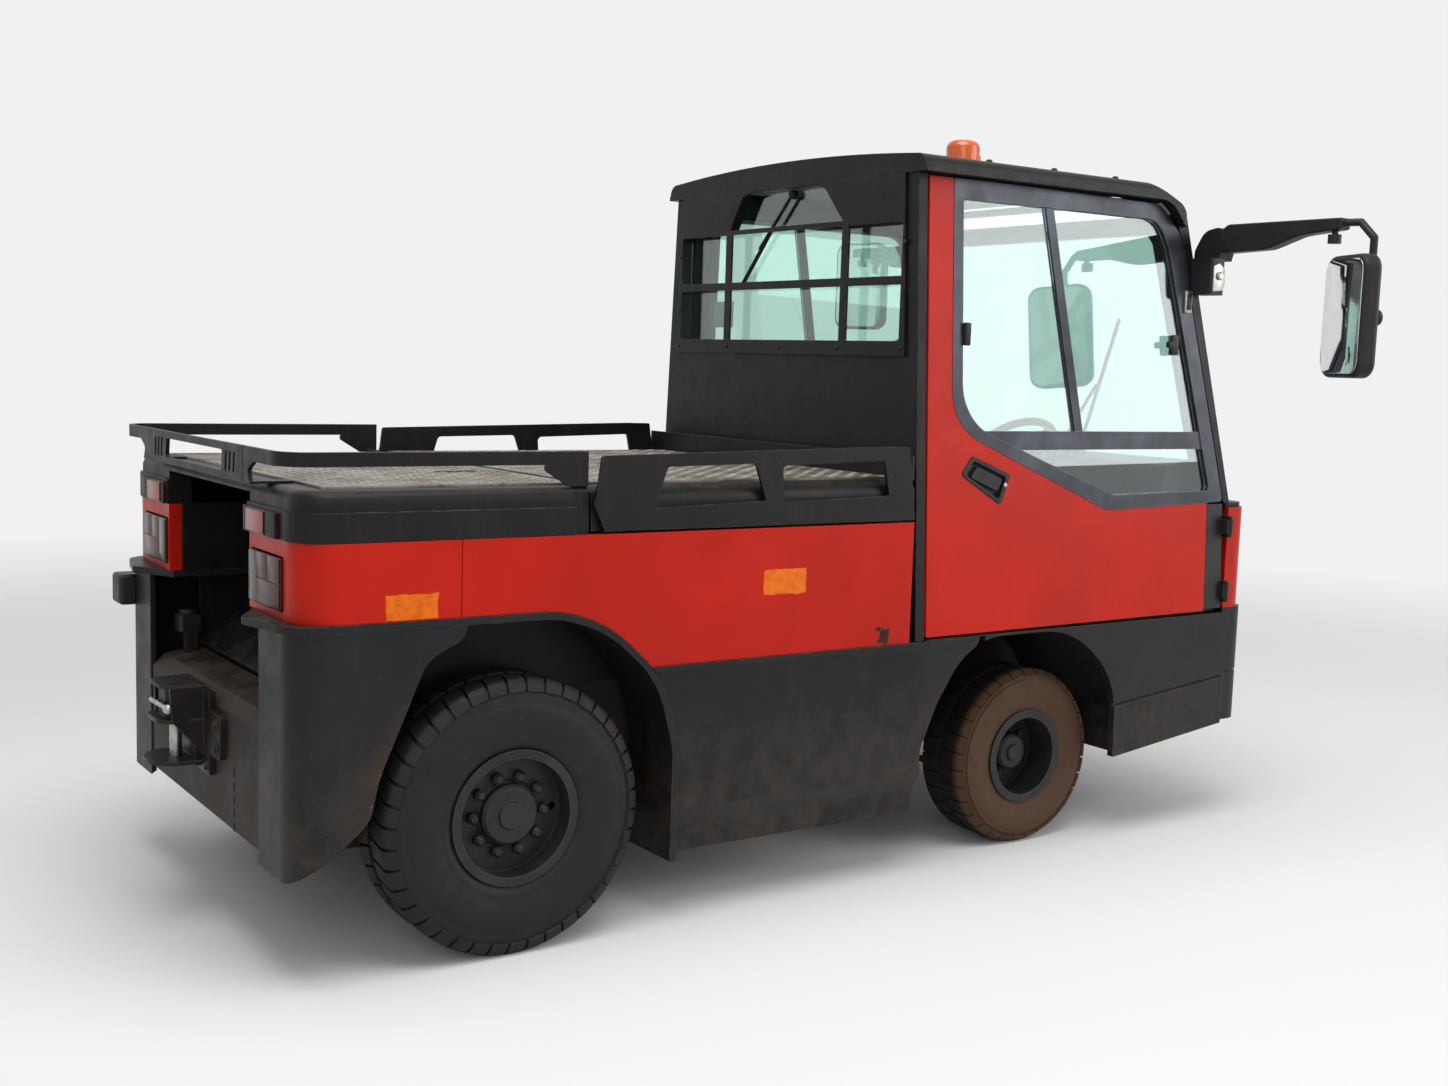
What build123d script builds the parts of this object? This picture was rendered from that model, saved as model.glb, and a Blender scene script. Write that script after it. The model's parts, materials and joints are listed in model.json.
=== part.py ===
from build123d import *
import math
import os

# Airport tow tractor, millimetres. Build frame: x forward from the rear axle,
# y to the left, z up from the floor. The written parts are moved by -middle_x,
# so that their origin lies on the floor below the middle of the vehicle.

# Running gaps
panel_gap = 6.0          # round doors, lid and other things that open
seat_gap = 0.3           # between a piece and what carries it

# Body
half_width = 682.0       # body side
wheelbase = 1775.0
red_top = 1013.0         # top edge of the red panels
red_bottom = 676.0       # lower edge of the middle red panel
ledge_top = 833.0        # top of the ledge under the rear corners
ledge_thick = 18.0
skin = 22.0              # body panels with their stiffening folds
plate = 14.0             # heavy bent plate at the rear
rear_face = -532.0       # rear face of the red corners
ledge_reach = 62.0       # ledge behind the red corners
lower_rear_face = -551.0
front_face = 2685.0
red_nose_face = 2668.0   # the red panel stands back from the dark nose
corner_radius = 92.0
corner_seam_x = -155.0
cab_seam_x = 1200.0
recess_half = 335.0      # inner wall of the rear towers
lower_plate_bottom = 231.0

# Deck
deck_level = 1128.0
deck_crease = 1080.0
deck_side_in = 14.0      # the lid stands in from the rail plates
deck_joint_x = 140.0     # front end of the rounded moulding
deck_seam_x = 183.0      # front end of the flat filler behind the lid
deck_plate_thick = 8.0
deck_plate_edge = 70.0   # margin of the moulding round the deck plates

# Rails
rail_top = 1212.0
rail_height = 32.0
rail_thick = 10.0
rail_rear_x = -568.0
hood_bottom = 1019.0
headboard_top = 1195.0

# Cab
cab_rear_x = 1224.0
cab_wall = 32.0
guard_thick = 8.0        # plate over the rear window
side_low_y = half_width - 1.0   # at the foot of the door
side_low_z = 686.0
side_lean = 0.0545       # how far the side leans in per unit of height
door_rear_x = 1262.0
door_front_x = 2440.0
door_thick = 34.0
door_top_z = 1962.0
roof_seat_z = door_top_z + 6.3
screen_low_x = 2552.0
screen_low_z = 1054.0
screen_high_x = 2326.0
screen_high_z = 1929.0
screen_thick = 6.0
floor_level = 600.0
floor_thick = 12.0
foot_half = 225.0
shelf_level = 690.0

# Wheels
rear_radius = 338.0
rear_track_half = 587.5
rear_section = 190.0
rear_tread = 153.0
rear_flange_radius = 166.0
rear_bead_radius = 152.0
front_radius = 268.0
front_track_half = 492.0
front_section = 190.0
front_tread = 156.0
front_flange_radius = 142.0
front_bead_radius = 126.0
kingpin_y = 405.0
kingpin_radius = 14.0

# Frame
frame_half = 440.0
lower_recess_half = frame_half + 16.0
frame_plate = 20.0
frame_bottom = 250.0
frame_top = 600.0
nose_half = 185.0
nose_bottom = 345.0
nose_top = 560.0
axle_tube_radius = 55.0

# Door hinge line
hinge_x = 2530.0
hinge_y = 692.0

# Mirrors: the left one is set higher than the right one
mirror_width = 220.0
mirror_height = 350.0
mirror_depth = 55.0
mirror_turn = 25.0       # degrees inwards

# Coupling: the pin's centre behind the rear beam, and the jaw behind the pin
pin_reach = 60.0
pin_radius = 15.0
jaw_reach = 75.0
pin_x = lower_rear_face - pin_reach
middle_x = (front_face + pin_x - jaw_reach) / 2


def side_frame(y):
    """A plane along the vehicle at y: first axis forward, second axis up."""
    return Plane(origin=(0, y, 0), x_dir=(1, 0, 0), z_dir=(0, -1, 0))


def cross_frame(x):
    """A plane across the vehicle at x: first axis left, second axis up."""
    return Plane(origin=(x, 0, 0), x_dir=(0, 1, 0), z_dir=(1, 0, 0))


def outline(points):
    """A face from (a, b) or (a, b, corner radius) rows."""
    radii = [row[2] if len(row) == 3 else 0 for row in points]
    corners = [(row[0], row[1]) for row in points]
    return make_face(FilletPolyline(*corners, radius=radii, close=True))


def side_plate(points, y_low, y_high):
    return extrude(side_frame(y_high) * outline(points), amount=y_high - y_low, dir=(0, -1, 0))


def cross_plate(points, x_low, x_high):
    return extrude(cross_frame(x_low) * outline(points), amount=x_high - x_low, dir=(1, 0, 0))


def plan_plate(points, z_low, z_high):
    return extrude(Plane.XY.offset(z_low) * outline(points), amount=z_high - z_low, dir=(0, 0, 1))


def block(x_low, x_high, y_low, y_high, z_low, z_high):
    size = (x_high - x_low, y_high - y_low, z_high - z_low)
    centre = ((x_low + x_high) / 2, (y_low + y_high) / 2, (z_low + z_high) / 2)
    return Pos(*centre) * Box(*size)


def rod(start, end, radius):
    """A round bar from one point to another."""
    line = Vector(*end) - Vector(*start)
    foot = Plane(origin=start, z_dir=line)
    return extrude(foot * Circle(radius), amount=line.length)


def other_side(shape):
    return mirror(shape, about=Plane.XZ)


def save(node, shape):
    placed = Pos(-middle_x, 0, 0) * shape
    export_step(placed, f"parts/{node}.step")


def save_sides(node, right_shape):
    """A piece on each side, each in a node of its own."""
    save(f"{node}_r", right_shape)
    save(f"{node}_l", other_side(right_shape))


def save_both(node, right_shape):
    """A piece and its mirror image on the other side, in one node."""
    save(node, Compound([*right_shape.solids(), *other_side(right_shape).solids()]))


os.makedirs("parts", exist_ok=True)

# Rear wheel arch, seen from the side: the lip's outer edge and the opening
arch_lip = [
    (-700, ledge_top), (190, ledge_top, 376), (395, 650, 300),
    (446, 470, 300), (446, 100), (-700, 100),
]
arch_hole = [
    (-800, ledge_top - ledge_thick), (183, ledge_top - ledge_thick, 360), (379, 641, 285),
    (428, 468, 285), (428, 90), (-800, 90),
]
# Front edge of the heavy rear plate, from the ledge to its foot
rear_plate_cut = [
    (-139, ledge_top - ledge_thick + 1), (-150, 781, 40), (-236, 742, 90), (-350, 480, 250), (-372, 380, 80),
    (-440, 325), (-640, 190), (-640, 60), (900, 60), (900, ledge_top - ledge_thick + 1),
]
front_arch = [
    (1300, 100), (1296, 190, 200), (1270, 350, 130), (1430, 672, 200), (1850, 672, 330),
    (2045, 500, 260), (2058, 100),
]


def arch_cut(points, reach=60):
    """The body removed by an arch, on the right-hand side."""
    return side_plate(points, -half_width - reach, -300)


frame_front_x = 1215.0
beam_outer = lower_rear_face + 4


# Chassis frame: rear beam, two side plates, cross plates and a nose beam
def make_frame():
    rear_end = beam_outer + 20
    side = side_plate(
        [(rear_end, frame_bottom + 30), (rear_end, frame_top - 30), (rear_end + 60, frame_top),
         (frame_front_x, frame_top), (frame_front_x, frame_bottom), (rear_end + 60, frame_bottom)],
        -frame_half, -frame_half + frame_plate)
    side -= Pos(0, -frame_half, rear_radius) * Rot(90, 0, 0) * Cylinder(axle_tube_radius + seat_gap, 90)
    inner = frame_half - frame_plate
    cross = block(440, 455, -inner, inner, frame_bottom, frame_top)
    cross += block(frame_front_x - 15, frame_front_x, -inner, inner, frame_bottom, frame_top)
    cross += block(455, frame_front_x - 15, -inner, inner, frame_bottom, frame_bottom + 12)
    nose = block(frame_front_x, 2500, -nose_half, nose_half, nose_bottom, nose_top)
    nose -= block(frame_front_x + 20, 2480, -nose_half + 14, nose_half - 14, nose_bottom - 5, nose_top - 12)
    rear_beam = side_plate(
        [(beam_outer, 278), (beam_outer, 560), (beam_outer + 32, 590), (beam_outer + 125, 606),
         (beam_outer + 125, 594), (beam_outer + 40, 572), (beam_outer + 20, 540), (beam_outer + 20, 278)],
        -frame_half - 8, frame_half + 8)
    return side + other_side(side) + cross + nose + rear_beam


save("frame", make_frame())

# Traction battery, one plain block under the lid
battery_half = frame_half - frame_plate - 35
save("battery", block(475, 1175, -battery_half, battery_half, frame_bottom + 12 + seat_gap, 985))

# Rear axle: drive unit between the frame plates and the tubes out to the wheels
hub_face_y = rear_track_half - 60
rear_disc_out = 26.0     # outer face of the disc from the tyre's middle plane
hub_socket = 14.0        # how far the spindle reaches into the hub
spindle_radius = 36.0
spindle_end_y = rear_track_half + rear_disc_out + hub_socket - 1


drive_half = 190.0
drum_radius = 118.0


def axle_length(radius, inner, outer):
    """A round length of the right half of the rear axle."""
    return Pos(0, -(inner + outer) / 2, rear_radius) * Rot(90, 0, 0) * Cylinder(radius, outer - inner)


def make_rear_axle():
    drive = block(-170, 190, -drive_half, drive_half, rear_radius - 98, rear_radius + 222)
    drive = fillet(drive.edges().filter_by(Axis.Y), 60)
    half = axle_length(axle_tube_radius, drive_half, hub_face_y)
    half += axle_length(drum_radius, frame_half + 22, hub_face_y)
    half += axle_length(spindle_radius, hub_face_y, spindle_end_y)
    return drive + half + other_side(half)


save("rear_axle", make_rear_axle())

# Front axle beam with a boss and a kingpin at each end
beam_z = front_radius
boss_half = 38.0
boss_radius = 28.0
lug_gap = 4.0
lug_thick = 20.0
kingpin_half = boss_half + lug_gap + lug_thick + 6


def make_front_axle():
    beam = block(wheelbase - 42, wheelbase + 42, -kingpin_y + 70, kingpin_y - 70, beam_z - boss_half,
                 beam_z + boss_half)
    beam += block(wheelbase - boss_radius, wheelbase + boss_radius, -kingpin_y, kingpin_y,
                  beam_z - boss_half, beam_z + boss_half)
    beam += block(wheelbase - 60, wheelbase + 60, -nose_half, nose_half, beam_z + boss_half, nose_bottom - seat_gap)
    for side in (-1, 1):
        beam += Pos(wheelbase, side * kingpin_y, beam_z) * Cylinder(boss_radius, 2 * boss_half)
        beam += Pos(wheelbase, side * kingpin_y, beam_z) * Cylinder(kingpin_radius, 2 * kingpin_half)
    return beam


save("front_axle", make_front_axle())

# Steering knuckles: a fork round the boss, the stub axle and the track-rod arm
front_disc_out = -14.0
stub_end_y = front_track_half + front_disc_out + hub_socket - 1
stub_radius = 22.0
arm_back = 110.0         # track-rod eye behind the kingpin
arm_in = 55.0            # and inwards of it
arm_z = beam_z - boss_half - lug_gap - lug_thick / 2
fork_back = kingpin_y + boss_radius + 5


def make_knuckle():
    knuckle = block(wheelbase - 30, wheelbase + 30, -fork_back - 12, -fork_back, beam_z - 62, beam_z + 62)
    for level in (beam_z + boss_half + lug_gap, beam_z - boss_half - lug_gap - lug_thick):
        knuckle += plan_plate(
            [(wheelbase - 30, -fork_back - 2), (wheelbase + 30, -fork_back - 2),
             (wheelbase + 30, -kingpin_y + 27, 26), (wheelbase - 30, -kingpin_y + 27, 26)],
            level, level + lug_thick)
    knuckle += rod((wheelbase, -fork_back - 6, beam_z), (wheelbase, -stub_end_y, beam_z), stub_radius)
    knuckle += plan_plate(
        [(wheelbase + 10, -kingpin_y + 20), (wheelbase - arm_back, -kingpin_y + arm_in + 12),
         (wheelbase - arm_back, -kingpin_y + arm_in - 12), (wheelbase - 12, -kingpin_y - 16)],
        arm_z - 8, arm_z + 8)
    knuckle += Pos(wheelbase - arm_back, -kingpin_y + arm_in, arm_z) * Cylinder(16, 16)
    knuckle -= Pos(wheelbase, -kingpin_y, beam_z) * Cylinder(kingpin_radius + 0.5, 200)
    return knuckle


save_sides("knuckle", make_knuckle())


# Wheels: (radius, distance outwards from the middle plane of the tyre)
def ring(profile, centre_x, centre_y, centre_z):
    """A closed (radius, outward) profile turned about a wheel axle on the right side."""
    face = outline([(r, -a, *rest) for r, a, *rest in profile])
    turned = revolve(face, axis=Axis.Y)
    return Pos(centre_x, -centre_y, centre_z) * turned


def make_tyre(radius, section, tread, bead, flange, rim_width):
    half = section / 2
    seat = rim_width / 2 - seat_gap
    shoulder = rim_width / 2 + rim_lip
    wall_mid = (radius + flange) / 2
    inner = bead + seat_gap
    collar = flange + seat_gap
    return [
        (inner, -seat), (collar, -seat), (collar, -shoulder), (wall_mid, -half, 30),
        (radius - 26, -half + 2, 20), (radius, -tread / 2), (radius, tread / 2),
        (radius - 26, half - 2, 20), (wall_mid, half, 30), (collar, shoulder), (collar, seat), (inner, seat),
    ]


rear_rim_width = 150.0
front_rim_width = 160.0
rim_lip = 9.0
save_sides("tyre_rear", ring(
    make_tyre(rear_radius, rear_section, rear_tread, rear_bead_radius, rear_flange_radius, rear_rim_width),
    0, rear_track_half, rear_radius))
save_sides("tyre_front", ring(
    make_tyre(front_radius, front_section, front_tread, front_bead_radius, front_flange_radius,
              front_rim_width), wheelbase, front_track_half, front_radius))


def make_rim(bead, flange, width, disc_out, disc_thick, hub_radius, hub_out, hole_radius, wall=7.0):
    """A rim with its disc and hub cap; disc_out is the disc's outer face."""
    half = width / 2
    shell = [
        (bead - wall, -half - rim_lip), (flange, -half - rim_lip), (flange, -half), (bead, -half),
        (bead, half), (flange, half), (flange, half + rim_lip), (bead - wall, half + rim_lip),
    ]
    disc = [
        (hole_radius, disc_out - disc_thick), (bead - wall, disc_out - disc_thick),
        (bead - wall, disc_out), (hub_radius + 10, disc_out), (hub_radius, disc_out + 8),
        (hub_radius, hub_out - 8), (hub_radius - 8, hub_out), (hub_radius * 0.5, hub_out),
        (hub_radius * 0.42, hub_out + 9), (0, hub_out + 9), (0, disc_out + hub_socket),
        (hole_radius, disc_out + hub_socket),
    ]
    return shell, disc


# Rear wheels
rear_shell, rear_disc = make_rim(rear_bead_radius, rear_flange_radius, rear_rim_width,
                                 rear_disc_out, 14, 74, 56, spindle_radius + 1)
rear_wheel = ring(rear_shell, 0, rear_track_half, rear_radius)
rear_wheel += ring(rear_disc, 0, rear_track_half, rear_radius)
rear_nuts = 10
rear_nut_circle = 94.0
for number in range(rear_nuts):
    angle = 2 * math.pi * number / rear_nuts
    nut = Rot(90, 0, 0) * (Cylinder(14, 20) + Pos(0, 0, 14) * Cone(14, 7, 8))
    rear_wheel += Pos(rear_nut_circle * math.cos(angle), -rear_track_half - rear_disc_out - 9,
                      rear_radius + rear_nut_circle * math.sin(angle)) * nut
rear_hand_hole = Pos(126, -rear_track_half, rear_radius) * Rot(90, 0, 0) * Cylinder(11, 400)
rear_wheel -= rear_hand_hole
save_sides("wheel_rear", rear_wheel)

# Front wheels, with the disc deep inside
front_shell, front_disc = make_rim(front_bead_radius, front_flange_radius, front_rim_width,
                                   front_disc_out, 10, 55, 36, stub_radius + 1)
front_wheel = ring(front_shell, wheelbase, front_track_half, front_radius)
front_wheel += ring(front_disc, wheelbase, front_track_half, front_radius)
front_nuts = 5
front_nut_circle = 76.0
for number in range(front_nuts):
    angle = 2 * math.pi * (number + 0.5) / front_nuts
    nut = Rot(90, 0, 0) * Cylinder(10, 20)
    front_wheel += Pos(wheelbase + front_nut_circle * math.cos(angle), -front_track_half - front_disc_out - 8,
                       front_radius + front_nut_circle * math.sin(angle)) * nut
save_sides("wheel_front", front_wheel)


# Track rod behind the axle, under the arms' eyes
rod_x = wheelbase - arm_back
rod_end_y = kingpin_y - arm_in
rod_z = arm_z - 8 - seat_gap - 12
track_rod = block(rod_x - 11, rod_x + 11, -rod_end_y, rod_end_y, rod_z - 9, rod_z + 9)
track_rod = fillet(track_rod.edges().filter_by(Axis.Y), 6)
track_rod += Pos(rod_x, -rod_end_y, rod_z) * Cylinder(16, 24) + Pos(rod_x, rod_end_y, rod_z) * Cylinder(16, 24)
save("track_rod", track_rod)

# Recess between the towers: sloping plate, back wall and the inner boxes of the towers
ramp_x = beam_outer + 130
recess_back = ramp_x + 170
recess = side_plate(
    [(ramp_x, 616), (recess_back, 740), (recess_back, 812), (recess_back + 10, 812),
     (recess_back + 10, 734), (ramp_x + 4, 606)], -frame_half, frame_half)
recess += block(recess_back, recess_back + 10, -recess_half + seat_gap, recess_half - seat_gap, 800, 1000)
wheelhouse_wall = block(beam_outer + 125 + seat_gap, 420, -frame_half - 6, -frame_half, frame_top + seat_gap,
                        ledge_top - ledge_thick - seat_gap)


# Towers at the rear corners, plan outlines on the right-hand side
def corner_plan(face_x, inner_y, outer_y, front_x, radius, thick):
    """An L in plan: rear face, rounded corner and side, of one thickness."""
    return [
        (face_x, -inner_y), (face_x, -outer_y, radius), (front_x, -outer_y),
        (front_x, -outer_y + thick), (face_x + thick, -outer_y + thick, radius - thick),
        (face_x + thick, -inner_y),
    ]


lower_plate = plan_plate(
    corner_plan(lower_rear_face, lower_recess_half, half_width, 30, 78, plate),
    lower_plate_bottom, ledge_top - ledge_thick)
lower_plate -= arch_cut(rear_plate_cut)

# Arch band: the ledge under the red corner runs on as the lip of the wheel arch
ledge_plan = [
    (rear_face - ledge_reach, -lower_recess_half - 10, 12), (rear_face - ledge_reach + 42, -half_width - 3, 90),
    (60, -half_width - 3), (60, -recess_half), (rear_face + 10, -recess_half),
    (rear_face - 20, -recess_half - 60, 40),
]
ledge = plan_plate(ledge_plan, ledge_top - ledge_thick, ledge_top)
band = side_plate(arch_lip, -half_width - 3, -lower_recess_half - 24)
band -= side_plate(arch_hole, -half_width - 80, -300)
band &= block(-20, 700, -900, 0, 170, 900)
save_both("rear_fenders", lower_plate + ledge + band)

# Red corners with the lamp opening in the rear face
lamp_low, lamp_high, lamp_in, lamp_out = 850.0, 975.0, 347.0, 565.0
red_bottom_rear = ledge_top + seat_gap
corner = plan_plate(
    [(rear_face, -recess_half), (rear_face, -half_width, corner_radius), (corner_seam_x - 1, -half_width),
     (corner_seam_x - 1, -half_width + skin), (rear_face + 34, -half_width + skin, corner_radius - skin),
     (rear_face + 34, -recess_half)], red_bottom_rear, red_top)
corner -= block(rear_face - 5, rear_face + 26, -lamp_out, -lamp_in, lamp_low, lamp_high)
save_both("corner_panels", corner)

# Rear lamps in their openings
lamp = block(rear_face - 6, rear_face + 26 - seat_gap, -lamp_out + 4, -lamp_in - 4, lamp_low + 4, lamp_high - 4)
lamp = chamfer(lamp.faces().sort_by(Axis.X)[0].edges(), 3)

# Inner box of each tower
tower = plan_plate(
    [(rear_face + 35, -recess_half), (rear_face + 35, -half_width + skin + 1, corner_radius - skin - 1),
     (-100, -half_width + skin + 1), (-100, -recess_half)], red_bottom_rear, red_top)
tower -= block(rear_face + 60, -130, -half_width + 60, -recess_half - 14, red_bottom_rear - 5, red_top - 14)
rear_body = tower + wheelhouse_wall
save("rear_body", Compound([*recess.solids(), *rear_body.solids(), *other_side(rear_body).solids()]))

# Middle red panels, cut by the arch
side_panel = block(corner_seam_x + 1, cab_seam_x, -half_width, -half_width + skin, red_bottom, red_top)
arch_seat = [(x + (0.4 if x > 0 else 0), z + 0.4, *rest) for x, z, *rest in arch_lip]
side_panel -= arch_cut(arch_seat)
# Hinges of the lid along the top of the left panel
lid_hinge_xs = (300.0, 700.0, 1100.0)
lid_hinge_y = half_width + 8.0
lid_hinge_z = red_top + 3.0
lid_barrel_radius = 6.0
lid_pin_radius = 2.5
left_panel = other_side(side_panel)
for x in lid_hinge_xs:
    for end in (x - 31, x + 31):
        left_panel += Pos(end, lid_hinge_y, lid_hinge_z) * Rot(0, 90, 0) * Cylinder(lid_barrel_radius, 20)
        left_panel += block(end - 10, end + 10, half_width - 5, lid_hinge_y, lid_hinge_z - 12, lid_hinge_z - 3)
    left_panel += Pos(x, lid_hinge_y, lid_hinge_z) * Rot(0, 90, 0) * Cylinder(lid_pin_radius, 70)
save("side_panels", Compound([*side_panel.solids(), *left_panel.solids()]))

# Dark skirts between the wheels
skirt_top = red_bottom - seat_gap
skirt = cross_plate(
    [(-half_width - 4, skirt_top), (-half_width - 4, 662), (-half_width + 3, 652), (-half_width + 26, 492),
     (-half_width + 20, 296, 20), (-half_width + 62, 236), (-half_width + 80, 165), (-half_width + 92, 165),
     (-half_width + 76, 242), (-half_width + 33, 304), (-half_width + 40, 490), (-half_width + 20, 640),
     (-half_width + 20, skirt_top)],
    350, 1460)
skirt -= arch_cut(arch_seat)
skirt -= arch_cut(front_arch)
save_both("skirts", skirt)

# Rear deck: moulding with a bullnose, open in the middle for the deck plates
deck_y = half_width - 2.0
deck_rear_x = rear_face - 6


deck_step = 7.0          # the upper band stands in by this much
deck_round = 30.0        # along its top edge


def make_rear_deck():
    """A moulding with a lower band, an upper band with a rounded edge, and a flat filler."""
    low = plan_plate(
        [(deck_rear_x, -deck_y, corner_radius), (deck_joint_x, -deck_y), (deck_joint_x, deck_y),
         (deck_rear_x, deck_y, corner_radius)], red_top + seat_gap, deck_crease)
    high_y = deck_y - deck_step
    high_radius = corner_radius - deck_step
    high = plan_plate(
        [(deck_rear_x + deck_step, -high_y, high_radius), (deck_joint_x, -high_y), (deck_joint_x, high_y),
         (deck_rear_x + deck_step, high_y, high_radius)], deck_crease, deck_level)
    top_edges = high.faces().sort_by(Axis.Z)[-1].edges()
    high = fillet([edge for edge in top_edges if edge.center().X < deck_joint_x - 1], deck_round)
    filler = block(deck_joint_x - 1, deck_seam_x - 1, -deck_y + deck_side_in, deck_y - deck_side_in,
                   red_top + seat_gap, deck_level)
    filler = chamfer(filler.edges().filter_by(Axis.X).group_by(Axis.Z)[-1], 12)
    deck = low + high + filler
    deck -= block(-700, beam_outer + 310, -recess_half, recess_half, 900, deck_level - 26)
    deck -= block(rear_face + 60, deck_joint_x - 30, -half_width + 90, half_width - 90, red_top - 10,
                  deck_level - 30)
    return deck - block(rear_face + deck_plate_edge, deck_seam_x - 12, -half_width + deck_plate_edge,
                        half_width - deck_plate_edge, deck_level - deck_plate_thick, deck_level + 5)


save("rear_deck", make_rear_deck())

# Slatted plate on the rear deck
slats = block(rear_face + deck_plate_edge + 0.3, deck_seam_x - 12.3, -half_width + deck_plate_edge + 0.3,
              half_width - deck_plate_edge - 0.3, deck_level - deck_plate_thick + seat_gap, deck_level + 6)
save("rear_deck_plate", slats)

# Lid over the battery: moulding, chequered plate, rail plates and headboard
lid_front_x = cab_rear_x - guard_thick - seat_gap - panel_gap
lid_low = block(deck_seam_x + panel_gap, lid_front_x, -deck_y + deck_side_in, deck_y - deck_side_in,
                hood_bottom, deck_level)
lid_low = fillet(lid_low.edges().filter_by(Axis.X).group_by(Axis.Z)[-1], 40)
lid_low -= block(deck_seam_x + 36, lid_front_x - 30, -half_width + 60, half_width - 60, hood_bottom - 5,
                 deck_level - 20)
for x in (deck_seam_x + 60, lid_front_x - 60):
    for y in (-half_width + 30, half_width - 30):
        lid_low += block(x - 20, x + 20, y - 14, y + 14, red_top + seat_gap, hood_bottom + 1)
save("lid", lid_low)
lid_plate = block(deck_seam_x + panel_gap + 10, lid_front_x - 28, -half_width + 74, half_width - 74,
                  deck_level + seat_gap, deck_level + 6)
save("lid_plate", lid_plate)

# Rail plates along the lid, outline seen from the side with two windows
rail_plate = side_plate(
    [(208, 1202, 8), (1083, 1221, 60), (1172, 1220, 6), (1201, hood_bottom, 4), (219, hood_bottom, 4),
     (186, 1085, 8), (201, 1144, 30)], -half_width - 1, -half_width - 1 + rail_thick)
for window in (
    [(393, 1174, 14), (661, 1179, 14), (694, 1083, 4), (361, 1073, 4)],
    [(744, 1173, 14), (1085, 1183, 8), (1105, 1088, 4), (751, 1079, 4)],
):
    rail_plate -= side_plate(window, -800, -600)
for x in (300, 720, 1140):
    rail_plate += block(x - 18, x + 18, -half_width + rail_thick - 2, -deck_y + deck_side_in - seat_gap, 1028, 1062)
headboard = block(lid_front_x - 26, lid_front_x - 16, -half_width + 2, half_width - 2, deck_level + seat_gap,
                  headboard_top)
lid_barrels = Compound([Pos(x, lid_hinge_y, lid_hinge_z) * Rot(0, 90, 0) * (
    Cylinder(lid_barrel_radius, 40) - Cylinder(lid_pin_radius + seat_gap, 60)) for x in lid_hinge_xs])
lid_leaves = Compound([block(x - 20, x + 20, half_width + 1 - rail_thick, lid_hinge_y - lid_pin_radius - 1,
                             lid_hinge_z + 3, lid_hinge_z + 12) for x in lid_hinge_xs])
save("lid_rails", rail_plate + other_side(rail_plate) + headboard + lid_barrels + lid_leaves)

# Rails of the rear deck: a band along each side, round the corner and across the back
rail_low = rail_top - rail_height
rail_y = half_width - 18
rail_end_x = deck_seam_x - panel_gap / 2
rail_split_y = 400.0
rail_foot_z = deck_level + seat_gap
rail_foot_reach = 50.0


def make_side_rail():
    plan = [
        (rail_end_x, -rail_y), (rail_rear_x, -rail_y, 80), (rail_rear_x, -rail_split_y),
        (rail_rear_x + rail_thick, -rail_split_y), (rail_rear_x + rail_thick, -rail_y + rail_thick, 70),
        (rail_end_x, -rail_y + rail_thick),
    ]
    rail = plan_plate(plan, rail_low, rail_top)
    web = side_plate([(39, rail_low + 2, 10), (rail_end_x, rail_low + 2), (rail_end_x, rail_foot_z),
                      (128, rail_foot_z)], -rail_y, -rail_y + rail_thick)
    web += block(deck_joint_x + 4, rail_end_x, -rail_y, -rail_y + rail_foot_reach, rail_foot_z, rail_foot_z + 6)
    foot_y = rail_split_y
    foot = cross_plate([(-foot_y, rail_low + 2), (-foot_y, rail_foot_z), (-foot_y - 44, rail_foot_z),
                        (-foot_y - 30, rail_low - 20, 10), (-foot_y - 75, rail_low + 2)],
                       rail_rear_x, rail_rear_x + rail_thick)
    foot_plate = block(rail_rear_x, rail_rear_x + 102, -foot_y - 44, -foot_y, rail_foot_z, rail_foot_z + 6)
    return rail + web + foot + foot_plate


centre_rail = cross_plate(
    [(-rail_split_y + 4, rail_foot_z), (-rail_split_y + 4, rail_top), (rail_split_y, rail_top),
     (rail_split_y, rail_foot_z)], rail_rear_x, rail_rear_x + rail_thick)
slot_low = rail_foot_z + 16
slot_high = rail_top - 18
for y in (-330, -300, -270, 270, 300, 330):
    slot = cross_plate([(y - 7, slot_low, 6), (y + 7, slot_low, 6), (y + 1, slot_high, 4), (y - 13, slot_high, 4)],
                       rail_rear_x - 5, rail_rear_x + rail_thick + 5)
    centre_rail -= slot
centre_rail -= cross_plate([(-235, slot_low, 8), (235, slot_low, 8), (225, slot_high, 8), (-245, slot_high, 8)],
                           rail_rear_x - 5, rail_rear_x + rail_thick + 5)
side_rail = make_side_rail()
save("rear_rails", Compound([*side_rail.solids(), *(other_side(side_rail) + centre_rail).solids()]))

# Reflector blocks on the rear of the deck moulding
reflector_in = recess_half
reflector_out = reflector_in + 218
reflector_low = red_top + 1
reflector_high = deck_crease - 8
reflector_block = block(deck_rear_x - 8, deck_rear_x - seat_gap, -reflector_out, -reflector_in,
                        reflector_low, reflector_high)
reflector_face = block(deck_rear_x - 11, deck_rear_x - 8, -reflector_in - 150, -reflector_in - 24,
                       reflector_low + 2, reflector_high - 2)
save_both("rear_lamps", Compound([*lamp.solids(), *(reflector_block + reflector_face).solids()]))


# Cab
def side_y(z):
    """Half width of the cab's side at a height."""
    return side_low_y - side_lean * (z - side_low_z)


def leaning_slab(inset, thick):
    """The right side of the cab as a slab of one thickness, set in from the outer face."""
    low, high = 600.0, 2060.0
    return cross_plate(
        [(-side_y(low) + inset, low), (-side_y(high) + inset, high),
         (-side_y(high) + inset + thick, high), (-side_y(low) + inset + thick, low)], 1100, 2900)


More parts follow.
